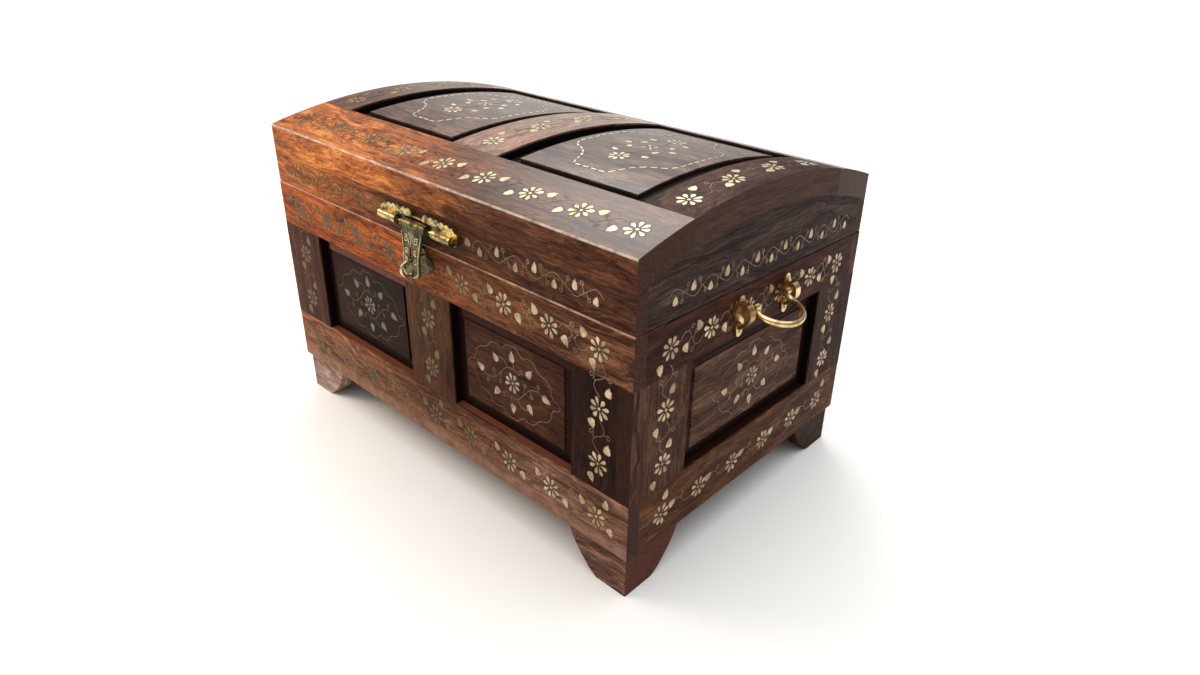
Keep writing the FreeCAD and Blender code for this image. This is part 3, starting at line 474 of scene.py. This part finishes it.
WIRE = brass("brass_wire", (0.34, 0.26, 0.19), (0.17, 0.12, 0.08), 0.45, 0.8, 0.0, 0.05, 67.0, olive=(10.0, 150.0, (0.11, 0.065, 0.026)))
for n_ in NODE:
    if n_.startswith("handle_"):
        dress(n_, POLISHED)
    elif n_.startswith("hasp_"):
        dress(n_, {"hasp_leaf": CAST, "hasp_pull_ring": RING, "hasp_staple": CAST}.get(n_, BARREL))
    elif n_.startswith("hinge_"):
        dress(n_, HINGE)
net = Net("lac")
q = net.place()
LAC = net.shader(net.mix(net.noise(q, 0.5, 2.0, 0.5), (0.006, 0.004, 0.003), (0.022, 0.010, 0.006)), 0.5, spec=0.25)


# ------------------------------------------------------------------ inlay
# Each surface maps (u, v, height), in millimetres, to a point; u runs to the viewer's right and v upwards.
def plane(origin_axis, place, flip=1):
    if origin_axis == "y":
        return lambda u, v, h: Vector((u, place - h, v)) * MM
    return lambda u, v, h: Vector((flip * (place + h), flip * u, v)) * MM


def arch(off):
    def f(u, v, h):
        t = v / 503.0
        r = 503.0 - off + h
        return Vector((u, r * math.sin(t), min(-202.0 + r * math.cos(t), 300.98 - (0.13 - h) * 0.12))) * MM
    return f


FRONT = plane("y", -152.5)
FRONT_FIELD = plane("y", -152.5 + 5.2)
LIDFRONT = plane("y", -152.0)
RIGHT = plane("x", 228.5)
RIGHT_FIELD = plane("x", 228.5 - 5.2)
LEFT = plane("x", 228.5, -1)
LEFT_FIELD = plane("x", 228.5 - 5.2, -1)
LIDRIGHT = plane("x", 228.0)
LIDLEFT = plane("x", 228.0, -1)
DOME = arch(0.0)
DOME_FIELD = arch(2.2)


class Bin:
    """Closed prisms gathered into one mesh."""

    def __init__(self):
        self.v, self.f, self.n = [], [], 0

    def prism(self, rings):
        b, n = len(self.v), len(rings[0])
        for r in rings:
            self.v += r
        for k in range(len(rings) - 1):
            for i in range(n):
                j = (i + 1) % n
                self.f.append((b + k * n + i, b + k * n + j, b + (k + 1) * n + j, b + (k + 1) * n + i))
        self.f.append(tuple(b + (len(rings) - 1) * n + i for i in range(n)))
        self.f.append(tuple(b + i for i in reversed(range(n))))
        self.n += 1

    def make(self, name, mat, body, slot):
        me = bpy.data.meshes.new(name)
        me.from_pydata([tuple(p) for p in self.v], [], self.f)
        me.materials.append(mat)
        me.validate()
        me.update()
        o = bpy.data.objects.new(name, me)
        SC.collection.objects.link(o)
        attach(o, body)
        return o


def offset(poly, d):
    out, n = [], len(poly)
    for i in range(n):
        p0, p1, p2 = Vector(poly[i - 1]), Vector(poly[i]), Vector(poly[(i + 1) % n])
        e1, e2 = (p1 - p0), (p2 - p1)
        if e1.length < 1e-6 or e2.length < 1e-6:
            out.append(tuple(p1))
            continue
        e1.normalize()
        e2.normalize()
        n1, n2 = Vector((e1.y, -e1.x)), Vector((e2.y, -e2.x))
        m = (n1 + n2) / max(0.55, 1.0 + n1.dot(n2))
        out.append(tuple(p1 + m * d))
    return out


def smooth(pts, closed=False, step=1.0):
    """Catmull-Rom line through pts, cut into pieces about step long."""
    P = [Vector(p) for p in pts]
    n = len(P)
    out = []
    segs = n if closed else n - 1
    for i in range(segs):
        p1, p2 = P[i % n], P[(i + 1) % n]
        p0 = P[(i - 1) % n] if (closed or i > 0) else p1 * 2 - p2
        p3 = P[(i + 2) % n] if (closed or i + 2 < n) else p2 * 2 - p1
        k = max(2, int((p2 - p1).length / step + 0.5))
        for j in range(k):
            t = j / k
            out.append(tuple(0.5 * ((2 * p1) + (p2 - p0) * t + (2 * p0 - 5 * p1 + 4 * p2 - p3) * t * t
                                    + (-p0 + 3 * p1 - 3 * p2 + p3) * t ** 3)))
    if not closed:
        out.append(tuple(P[-1]))
    return out


class Inlay:
    """Brass pieces let into one surface, each in a dark bed that is a little wider."""

    def __init__(self, surf, gap=0.5, proud=0.13):
        self.s, self.brass, self.bed, self.thin = surf, Bin(), Bin(), Bin()
        self.gap, self.proud = gap, proud

    def lift(self):
        return 0.022 + 0.0017 * (self.bed.n % 17)

    def shape(self, poly):
        s, g = self.s, self.gap
        area2 = sum(poly[i - 1][0] * poly[i][1] - poly[i][0] * poly[i - 1][1] for i in range(len(poly)))
        if area2 < 0:
            poly = poly[::-1]
        wide, h = offset(poly, g), self.lift()
        self.bed.prism([[s(u, v, -0.3) for u, v in wide], [s(u, v, h) for u, v in wide]])
        top = offset(poly, -0.13)
        self.brass.prism([[s(u, v, -0.3) for u, v in poly], [s(u, v, self.proud * 0.6) for u, v in poly],
                          [s(u, v, self.proud) for u, v in top]])

    def wire(self, pts, w=0.40, step=0.9, ends=True):
        s = self.s
        line = smooth(pts, step=step)
        n = len(line)
        h = self.lift()
        sec_a, sec_b = [], []
        for i, p in enumerate(line):
            a, b = Vector(line[max(0, i - 1)]), Vector(line[min(n - 1, i + 1)])
            t = b - a
            if t.length < 1e-7:
                continue
            t.normalize()
            m = Vector((-t.y, t.x))
            c = Vector(p)
            k = 0.55 if i in (0, n - 1) else 1.0
            for sec, ww, top in ((sec_a, w / 2 * k, self.proud * 0.8), (sec_b, w / 2 * k + 0.20, h * 0.8)):
                l, r = c + m * ww, c - m * ww
                sec.append([s(r.x, r.y, -0.25), s(r.x, r.y, top), s(l.x, l.y, top), s(l.x, l.y, -0.25)])
        for sec, bin_ in ((sec_a, self.thin), (sec_b, self.bed)):
            if len(sec) > 1:
                bin_.prism([q_[::-1] for q_ in sec])

    def petal(self, u, v, ang, r0, r1, w):
        n = 7
        ca, sa = math.cos(ang), math.sin(ang)
        up_, dn = [], []
        for i in range(n + 1):
            t = i / n
            hw = 0.5 * w * (math.sin(math.pi * t ** 1.9) ** 0.62 if 0 < t < 1 else 0.0)
            hw = max(hw, 0.10)
            r = r0 + (r1 - r0) * t
            up_.append((u + r * ca - hw * sa, v + r * sa + hw * ca))
            dn.append((u + r * ca + hw * sa, v + r * sa - hw * ca))
        self.shape(dn + up_[::-1])

    def disc(self, u, v, r, n=9):
        self.shape([(u + r * math.cos(2 * math.pi * i / n), v + r * math.sin(2 * math.pi * i / n)) for i in range(n)])

    def flower(self, u, v, R=9.4, n=8, skip=()):
        a0 = rnd.uniform(-0.15, 0.15) + math.pi / n
        for i in range(n):
            if i in skip:
                continue
            a = a0 + 2 * math.pi * i / n + rnd.uniform(-0.07, 0.07)
            k = rnd.uniform(0.92, 1.06)
            self.petal(u, v, a, R * 0.27, R * k, R * 0.36 * rnd.uniform(0.9, 1.08))
        self.disc(u + rnd.uniform(-0.2, 0.2), v + rnd.uniform(-0.2, 0.2), R * 0.135)

    def bud(self, u, v, ang, L=8.8, W=6.2):
        """Lobed leaf: broad foot, waist, pointed tip; ang is the way the tip points."""
        L *= rnd.uniform(0.92, 1.08)
        W *= rnd.uniform(0.92, 1.08)
        ang += rnd.uniform(-0.12, 0.12)
        half = [(-0.50, 0.15), (-0.47, 0.36), (-0.35, 0.50), (-0.18, 0.53), (-0.05, 0.47), (0.01, 0.38), (0.09, 0.43), (0.19, 0.36),
                (0.29, 0.19), (0.39, 0.08), (0.50, 0.02)]
        pts = [(a, -b) for a, b in half] + [(a, b) for a, b in reversed(half)]
        ca, sa = math.cos(ang), math.sin(ang)
        self.shape([(u + a * L * ca - b * W * sa, v + a * L * sa + b * W * ca) for a, b in pts])

    def drop(self, u, v, ang, L=9.0, W=4.6):
        """Plain leaf, round foot and long tip."""
        L *= rnd.uniform(0.93, 1.07)
        ang += rnd.uniform(-0.10, 0.10)
        half = [(-0.48, 0.14), (-0.45, 0.34), (-0.31, 0.50), (-0.12, 0.52), (0.01, 0.44), (0.06, 0.36), (0.14, 0.39), (0.24, 0.27),
                (0.36, 0.11), (0.50, 0.02)]
        pts = [(a, -b) for a, b in half] + [(a, b) for a, b in reversed(half)]
        ca, sa = math.cos(ang), math.sin(ang)
        self.shape([(u + a * L * ca - b * W * sa, v + a * L * sa + b * W * ca) for a, b in pts])

    def curl(self, root, u, v, r, a0, turns=1.25, way=1):
        pts = [root]
        n = max(8, int(10 * turns))
        for i in range(n + 1):
            t = i / n
            a = a0 + way * 2 * math.pi * turns * t
            q_ = r * (1.0 - 0.72 * t)
            pts.append((u + q_ * math.cos(a), v + q_ * math.sin(a)))
        self.wire(pts, 0.44, 0.7)

    def done(self, name, mat, body="case"):
        self.brass.make(name + "_brass", mat, body, "brass")
        self.bed.make(name + "_bed", LAC, body, "frame_wood")
        if self.thin.v:
            self.thin.make(name + "_wire", WIRE, body, "brass")


def between(g, ua, ub, v0, hand=1, leaves=True):
    """Vine between two flowers of a rail: one leaf above the middle line, one below."""
    s = hand
    um = (ua + ub) / 2
    g.wire([(ua + 9.6, v0 + 1.5 * s), (ua + 13.5, v0 + 6.2 * s), (ua + 19.0, v0 + 6.6 * s), (um, v0 + 0.3 * s),
            (ub - 19.0, v0 - 6.4 * s), (ub - 13.5, v0 - 6.0 * s), (ub - 9.6, v0 - 1.5 * s)])
    if leaves:
        g.bud(ua + 16.6, v0 - 6.3 * s, math.radians(-58) * s)
        g.bud(ub - 15.6, v0 + 8.0 * s, math.radians(118) * s)
    g.curl((ua + 19.0, v0 + 6.6 * s), ua + 23.2, v0 + 9.0 * s, 2.4, math.radians(200 if s > 0 else 160), 1.3, -s)
    g.curl((ub - 19.0, v0 - 6.4 * s), ub - 23.2, v0 - 9.0 * s, 2.4, math.radians(20 if s > 0 else -20), 1.3, -s)
    g.curl((um - 1.5, v0 + 1.6 * s), um - 4.0, v0 - 3.6 * s, 1.9, math.radians(60) * s, 1.1, s)
    g.curl((um + 1.5, v0 - 0.8 * s), um + 4.0, v0 + 4.4 * s, 1.9, math.radians(240) * s, 1.1, s)


def column(g, u0, zs, up=(8.8, 16.2), dn=(-6.6, -14.8), top=None, low=None, gap=46.6):
    """Flowers of a stile with a leaf above and below each, and a wire through the leaves."""
    for k, z in enumerate(zs):
        g.flower(u0, z)
        g.bud(u0 + up[0], z + up[1], math.radians(80 if up[0] > 0 else 100))
        g.bud(u0 + dn[0], z + dn[1], math.radians(-70 if dn[0] < 0 else -110))
        sx = 1 if up[0] > 0 else -1
        w_ = [(u0 + 1.0 * sx, z + 9.6), (u0 - 2.6 * sx, z + 12.6), (u0 - 5.4 * sx, z + 16.8), (u0 - 3.6 * sx, z + 21.4), (u0 + 1.6 * sx, z + 24.2),
              (u0 + 5.2 * sx, z + 27.6), (u0 + 4.4 * sx, z + 32.2), (u0 + 1.2 * sx, z + 36.6)]
        g.wire(w_)
        g.curl(w_[3], u0 - 7.4 * sx, z + 24.8, 2.7, math.radians(-60 if sx > 0 else -120), 1.2, sx)
        g.curl(w_[5], u0 + 9.2 * sx, z + 25.6, 2.5, math.radians(160 if sx > 0 else 20), 1.2, -sx)


def medallion(g, u0, v0):
    """Central flower, eight leaves round it, two vines and a scalloped wire border."""
    g.flower(u0, v0, 8.8)
    for du, dv, a in ((0, 23.6, 92), (0, -23.4, -88), (20.0, 16.2, 50), (-20.0, 16.0, 128), (20.2, -15.6, -48), (-19.6, -15.2, -130),
                      (38.8, 1.0, -22), (-39.0, 0.4, 158)):
        g.drop(u0 + du, v0 + dv, math.radians(a), 9.2, 5.9)
    for s in (1, -1):
        k = lambda pts: [(u0 + s * a, v0 + s * b) for a, b in pts]
        g.wire(k([(34.6, 2.6), (29.5, 4.2), (21.0, 2.4), (13.5, -4.8), (6.0, -12.0), (-2.0, -13.0), (-8.0, -10.0)]))
        g.curl((u0 - s * 8.0, v0 - s * 10.0), u0 - s * 10.4, v0 - s * 14.2, 2.3, math.radians(60 if s > 0 else 240), 1.2, 1)
        g.curl((u0 + s * 21.0, v0 + s * 2.4), u0 + s * 21.6, v0 - s * 3.4, 2.3, math.radians(100 if s > 0 else 280), 1.25, -1)
        g.curl((u0 + s * 13.5, v0 - s * 4.8), u0 + s * 14.8, v0 + s * 3.4, 2.1, math.radians(250 if s > 0 else 70), 1.2, -1)
        g.curl((u0 + s * 29.5, v0 + s * 4.2), u0 + s * 29.6, v0 + s * 9.0, 2.0, math.radians(-90 if s > 0 else 90), 1.2, 1)
        g.wire(k([(6.0, -12.0), (9.0, -17.0), (15.5, -17.5), (17.5, -16.6)]), 0.44)
        g.wire(k([(-2.0, -13.0), (-1.5, -17.0), (-0.4, -19.4)]), 0.44)
    for sx in (1, -1):
        for sy in (1, -1):
            q_ = lambda pts: [(u0 + sx * a, v0 + sy * b) for a, b in pts]
            g.wire(q_([(54.0, 0.0), (51.2, 3.2), (47.2, 4.2), (44.6, 7.4)]), 0.36)
            g.wire(q_([(44.6, 7.4), (43.6, 13.0), (39.2, 18.2), (33.0, 20.2), (28.6, 22.6)]), 0.36)
            g.wire(q_([(28.6, 22.6), (24.6, 27.2), (18.2, 28.4), (12.6, 27.0), (9.4, 28.4)]), 0.36)
            g.wire(q_([(9.4, 28.4), (6.4, 31.6), (2.4, 32.6), (0.0, 32.2)]), 0.36)


# case front
g = Inlay(FRONT)
ZT, ZB, P = 204.3, 63.2, 49.2
for k in range(-4, 5):
    if k:
        g.flower(k * P, ZT)
    g.flower(k * P, ZB)
for k in range(-4, 4):
    if k not in (-1, 0):
        between(g, k * P, (k + 1) * P, ZT)
    between(g, k * P, (k + 1) * P, ZB)
for s in (1, -1):
    # the vines next to the hasp
    g.wire([(s * (P - 9.6), ZT), (s * 33.0, ZT - 5.5), (s * 26.0, ZT - 4.0), (s * 21.5, ZT + 2.0)])
    g.bud(s * 33.6, ZT + 7.0 * s + 0.6, math.radians(90 + 25 * s))
for u in (-197.6, 0.0, 197.6):
    column(g, u, (157.9, 111.3))
    if u:
        g.bud(u - 6.4, 190.6, math.radians(-70))
    g.bud(u + 8.6, 79.0, math.radians(80))
g.bud(-P * 4 - 14.5, ZT + 8.6, math.radians(118))
g.bud(-P * 4 - 14.5, ZB + 7.6, math.radians(118))
g.bud(P * 4 + 14.5, ZB - 8.0, math.radians(-60))
g.done("inlay_front", SHEET)
for nm_, u in (("right", 99.3), ("left", -99.3)):
    g = Inlay(FRONT_FIELD)
    medallion(g, u, 134.8)
    g.done("inlay_front_%s_panel" % nm_, FIELDSHEET)

# case ends
for nm_, surf, field, mir in (("right", RIGHT, RIGHT_FIELD, 1), ("left", LEFT, LEFT_FIELD, -1)):
    g = Inlay(surf)
    ZT, ZB, P = 203.2, 60.6, 46.1
    half = [(k - 2.5) * P for k in range(6)]
    for k in range(6):
        g.flower(half[k], ZT)
        g.flower(half[k], ZB)
    for k in range(5):
        between(g, half[k], half[k + 1], ZT)
        g.bud(half[k] + 13.4, ZB + 3.4, math.radians(28))
        um = (half[k] + half[k + 1]) / 2
        g.wire([(half[k] + 16.6, ZB + 5.4), (um, ZB + 3.0), (um + 6.5, ZB - 3.4), (half[k + 1] - 9.8, ZB - 2.0)], 0.34)
        g.curl((um, ZB + 3.0), um + 2.4, ZB + 6.4, 2.2, math.radians(-120), 1.2, 1)
    column(g, -117.0, (154.4, 108.2), up=(6.4, 15.8), dn=(-9.6, -15.4))
    column(g, 115.8, (153.6, 106.8), up=(9.6, 16.0), dn=(-6.6, -14.9))
    g.bud(-126.0, 189.2, math.radians(-75))
    g.bud(111.5, 187.2, math.radians(-95))
    g.bud(-110.7, 77.6, math.radians(80))
    g.bud(125.3, 76.0, math.radians(80))
    g.done("inlay_%s_end" % nm_, SIDESHEET)
    g = Inlay(field)
    medallion(g, 1.6, 132.6)
    g.done("inlay_%s_end_panel" % nm_, SIDESHEET)


def vine(g, us, low=238.0, high=243.9):
    """Wavy wire with a leaf in each bend."""
    for k, u in enumerate(us):
        hi = (k % 2 == 1)
        g.bud(u, high if hi else low, math.radians(84), 8.2 if hi else 7.4, 5.0)
    pts = [(us[0] - 8.0, low - 1.5), (us[0] - 6.5, low + 4.5)]
    for k, u in enumerate(us):
        hi = (k % 2 == 1)
        pts.append((u + (1.0 if hi else 0.0), high - 8.3 if hi else low + 8.2))
        if k + 1 < len(us):
            pts.append(((u + us[k + 1]) / 2, 241.0))
    pts.append((us[-1] + 7.0, 241.5))
    g.wire(pts)
    for k in range(len(us) - 1):
        m = (us[k] + us[k + 1]) / 2
        hi = (k % 2 == 1)
        if hi:
            g.curl((m - 1.2, 239.5), m - 3.6, 246.6, 2.2, math.radians(-70), 1.3, 1)
            g.curl((m + 0.5, 242.0), m + 3.2, 236.4, 2.0, math.radians(110), 1.2, -1)
        else:
            g.curl((m - 1.2, 243.0), m - 3.4, 235.6, 2.2, math.radians(70), 1.3, -1)
            g.curl((m + 0.5, 240.0), m + 3.2, 246.4, 2.0, math.radians(-110), 1.2, 1)


for nm_, surf in (("right", LIDRIGHT), ("left", LIDLEFT)):
    g = Inlay(surf)
    vine(g, [-113.3 + 19.4 * k for k in range(13)])
    g.done("inlay_lid_%s_end" % nm_, SIDESHEET, "lid")
g = Inlay(LIDFRONT)
vine(g, [72.8 + 20.0 * k for k in range(8)][:7])
g.bud(58.6, 242.0, math.radians(88), 7.4, 6.6)
vine(g, [-204.0 + 20.0 * k for k in range(8)][:7])
g.bud(-64.6, 243.4, math.radians(92), 7.4, 5.6)
g.done("inlay_lid_front", SHEET, "lid")

# lid top: front and back rails, ribs, panels
g = Inlay(DOME)
P = 51.0
for k in range(-4, 5):
    g.flower(k * P, -128.6, 9.9)
for k in range(-4, 4):
    between(g, k * P, (k + 1) * P, -128.6, -1)
for u in (-206.0, 0.0, 206.0):
    ys = (-77.5, -26.0, 26.0, 77.5)
    for y in ys:
        g.flower(u, y, 9.6)
    for a_, b_ in zip(ys, ys[1:]):
        g.bud(u - 10.0, a_ + 17.4, math.radians(105))
        g.bud(u + 6.0, b_ - 14.0, math.radians(-80))
        g.wire([(u + 1.5, a_ + 10.0), (u + 5.0, a_ + 15.0), (u + 3.5, a_ + 21.0), (u - 2.0, a_ + 26.0), (u - 5.0, b_ - 17.5),
                (u - 3.0, b_ - 12.5), (u - 1.0, b_ - 10.0)])
        g.curl((u + 3.5, a_ + 21.0), u + 7.2, a_ + 24.0, 2.2, math.radians(200), 1.2, -1)
        g.curl((u - 5.0, b_ - 17.5), u - 8.4, b_ - 21.0, 2.2, math.radians(20), 1.2, -1)
g.done("inlay_lid_rails", LIDSHEET, "lid")
for nm_, u0 in (("right", 103.5), ("left", -108.0)):
    g = Inlay(DOME_FIELD)
    quarter = [(0.0, 70.5), (16.0, 70.0), (22.0, 61.0), (26.5, 52.0), (35.0, 43.0), (47.5, 36.0), (53.0, 27.0), (53.6, 13.0), (53.6, 0.0)]
    loop = quarter + [(a, -b) for a, b in reversed(quarter[:-1])]
    loop = loop + [(-a, b) for a, b in reversed(loop[1:-1])]
    line = smooth([(u0 + a, b) for a, b in loop], closed=True, step=0.5)
    # short brass bars one after the other along the border
    dist, pos, nxt = 0.0, [], 0.0
    for i in range(len(line)):
        a_, b_ = Vector(line[i]), Vector(line[(i + 1) % len(line)])
        seg = (b_ - a_).length
        while seg > 1e-9 and dist + seg >= nxt:
            t = (nxt - dist) / seg
            pos.append((a_ + (b_ - a_) * t, (b_ - a_).normalized()))
            nxt += 8.3
        dist += seg
    for c_, t_ in pos:
        m_ = Vector((-t_.y, t_.x))
        L_, W_ = 2.9 * rnd.uniform(0.9, 1.06), 0.85 * rnd.uniform(0.9, 1.1)
        q_ = [c_ - t_ * L_ - m_ * W_ * 0.8, c_ - m_ * W_ * 1.05, c_ + t_ * L_ - m_ * W_ * 0.8,
              c_ + t_ * L_ + m_ * W_ * 0.8, c_ + m_ * W_ * 1.05, c_ - t_ * L_ + m_ * W_ * 0.8]
        g.shape([tuple(x_) for x_ in q_])
    for y in (-36.5, 36.5):
        g.flower(u0 - 1.0, y, 9.4)
    for du, dv, a in ((17.5, -25.5, 20), (-17.5, -24.0, 160), (15.0, -10.0, 70), (-15.0, -8.0, 110), (24.5, 0.0, 0), (-24.5, 0.0, 180),
                      (15.0, 10.0, -70), (-15.0, 9.0, -110), (17.5, 25.5, -20), (-17.5, 24.0, -160)):
        g.bud(u0 + du, dv, math.radians(a), 7.6, 4.4)
    for k in range(4):
        g.petal(u0, 0.0, math.radians(45 + 90 * k), 1.8, 7.2, 2.8)
    g.disc(u0, 0.0, 1.1)
    for s in (1, -1):
        g.wire([(u0, s * 8.0), (u0 + 4.0, s * 13.0), (u0 + 2.0, s * 19.0), (u0 - 1.0, s * 26.0)], 0.44)
    g.done("inlay_lid_%s_panel" % nm_, PANELSHEET, "lid")

# ------------------------------------------------------------------ raised scrolls on the hasp
def leaf_face(u, v, h):
    t = math.radians(-6.0)
    dy, dz = -4.0 - h, v - 239.3
    return Vector((u, -156.7 + dy * math.cos(t) - dz * math.sin(t), 239.3 + dy * math.sin(t) + dz * math.cos(t))) * MM


def plate_face(u, v, h):
    return Vector((u, -155.0 - h, v)) * MM


class Scroll(Inlay):
    """Rounded ridges standing on a metal face."""

    def ridge(self, pts, w=0.9, h=0.42):
        line = smooth(pts, step=0.6)
        n, rings = len(line), []
        for i, p_ in enumerate(line):
            t_ = Vector(line[min(n - 1, i + 1)]) - Vector(line[max(0, i - 1)])
            if t_.length < 1e-7:
                continue
            t_.normalize()
            m_ = Vector((-t_.y, t_.x))
            k_ = 0.35 if i in (0, n - 1) else 1.0
            ring_ = []
            for a_, b_ in ((-0.5, -0.15), (-0.42, 0.45), (-0.2, 0.9), (0.2, 0.9), (0.42, 0.45), (0.5, -0.15)):
                q_ = Vector(p_) - m_ * a_ * w * k_
                ring_.append(self.s(q_.x, q_.y, b_ * h * k_ if b_ > 0 else b_))
            rings.append(ring_[::-1])
        if len(rings) > 1:
            self.brass.prism([q_[::-1] for q_ in rings])

    def spiral(self, u, v, r, a0, way, turns=1.3):
        n = 14
        self.ridge([(u + r * (1 - 0.75 * i / n) * math.cos(a0 + way * 2 * math.pi * turns * i / n),
                     v + r * (1 - 0.75 * i / n) * math.sin(a0 + way * 2 * math.pi * turns * i / n)) for i in range(n + 1)], 0.75)


sc = Scroll(leaf_face)
for sx in (-1, 1):
    sc.ridge([(sx * 12.6, 233.5), (sx * 11.4, 228.0), (sx * 10.2, 221.5), (sx * 9.4, 214.0), (sx * 9.8, 207.0), (sx * 9.6, 202.5), (sx * 6.0, 199.4),
              (sx * 3.0, 198.0)], 0.8)
    sc.spiral(sx * 6.8, 228.6, 3.2, math.radians(90 - 40 * sx), sx)
    sc.spiral(sx * 5.8, 219.4, 2.6, math.radians(-90 + 40 * sx), -sx)
    sc.spiral(sx * 6.0, 211.6, 2.4, math.radians(90 - 40 * sx), sx)
    sc.ridge([(sx * 3.0, 234.0), (sx * 1.6, 231.0), (sx * 2.8, 227.4), (sx * 3.6, 224.0)], 0.7)
sc.ridge([(0.0, 234.0), (0.0, 229.5), (0.0, 225.0)], 0.9)
sc.brass.make("hasp_leaf_scrolls", RIDGE, "hasp", "brass")
sc = Scroll(plate_face)
for sx in (-1, 1):
    sc.ridge([(sx * 17.0, 246.6), (sx * 20.0, 248.4), (sx * 24.0, 246.0), (sx * 28.0, 247.6), (sx * 30.6, 245.2)], 0.8)
    sc.ridge([(sx * 36.6, 245.2), (sx * 39.0, 247.6), (sx * 42.6, 245.4), (sx * 45.4, 246.0), (sx * 47.6, 244.4)], 0.8)
    sc.spiral(sx * 21.4, 245.4, 1.5, 0.4, sx, 1.1)
    sc.spiral(sx * 43.0, 244.4, 1.3, 2.0, -sx, 1.1)
sc.brass.make("hasp_plate_scrolls", RIDGE, "lid", "brass")
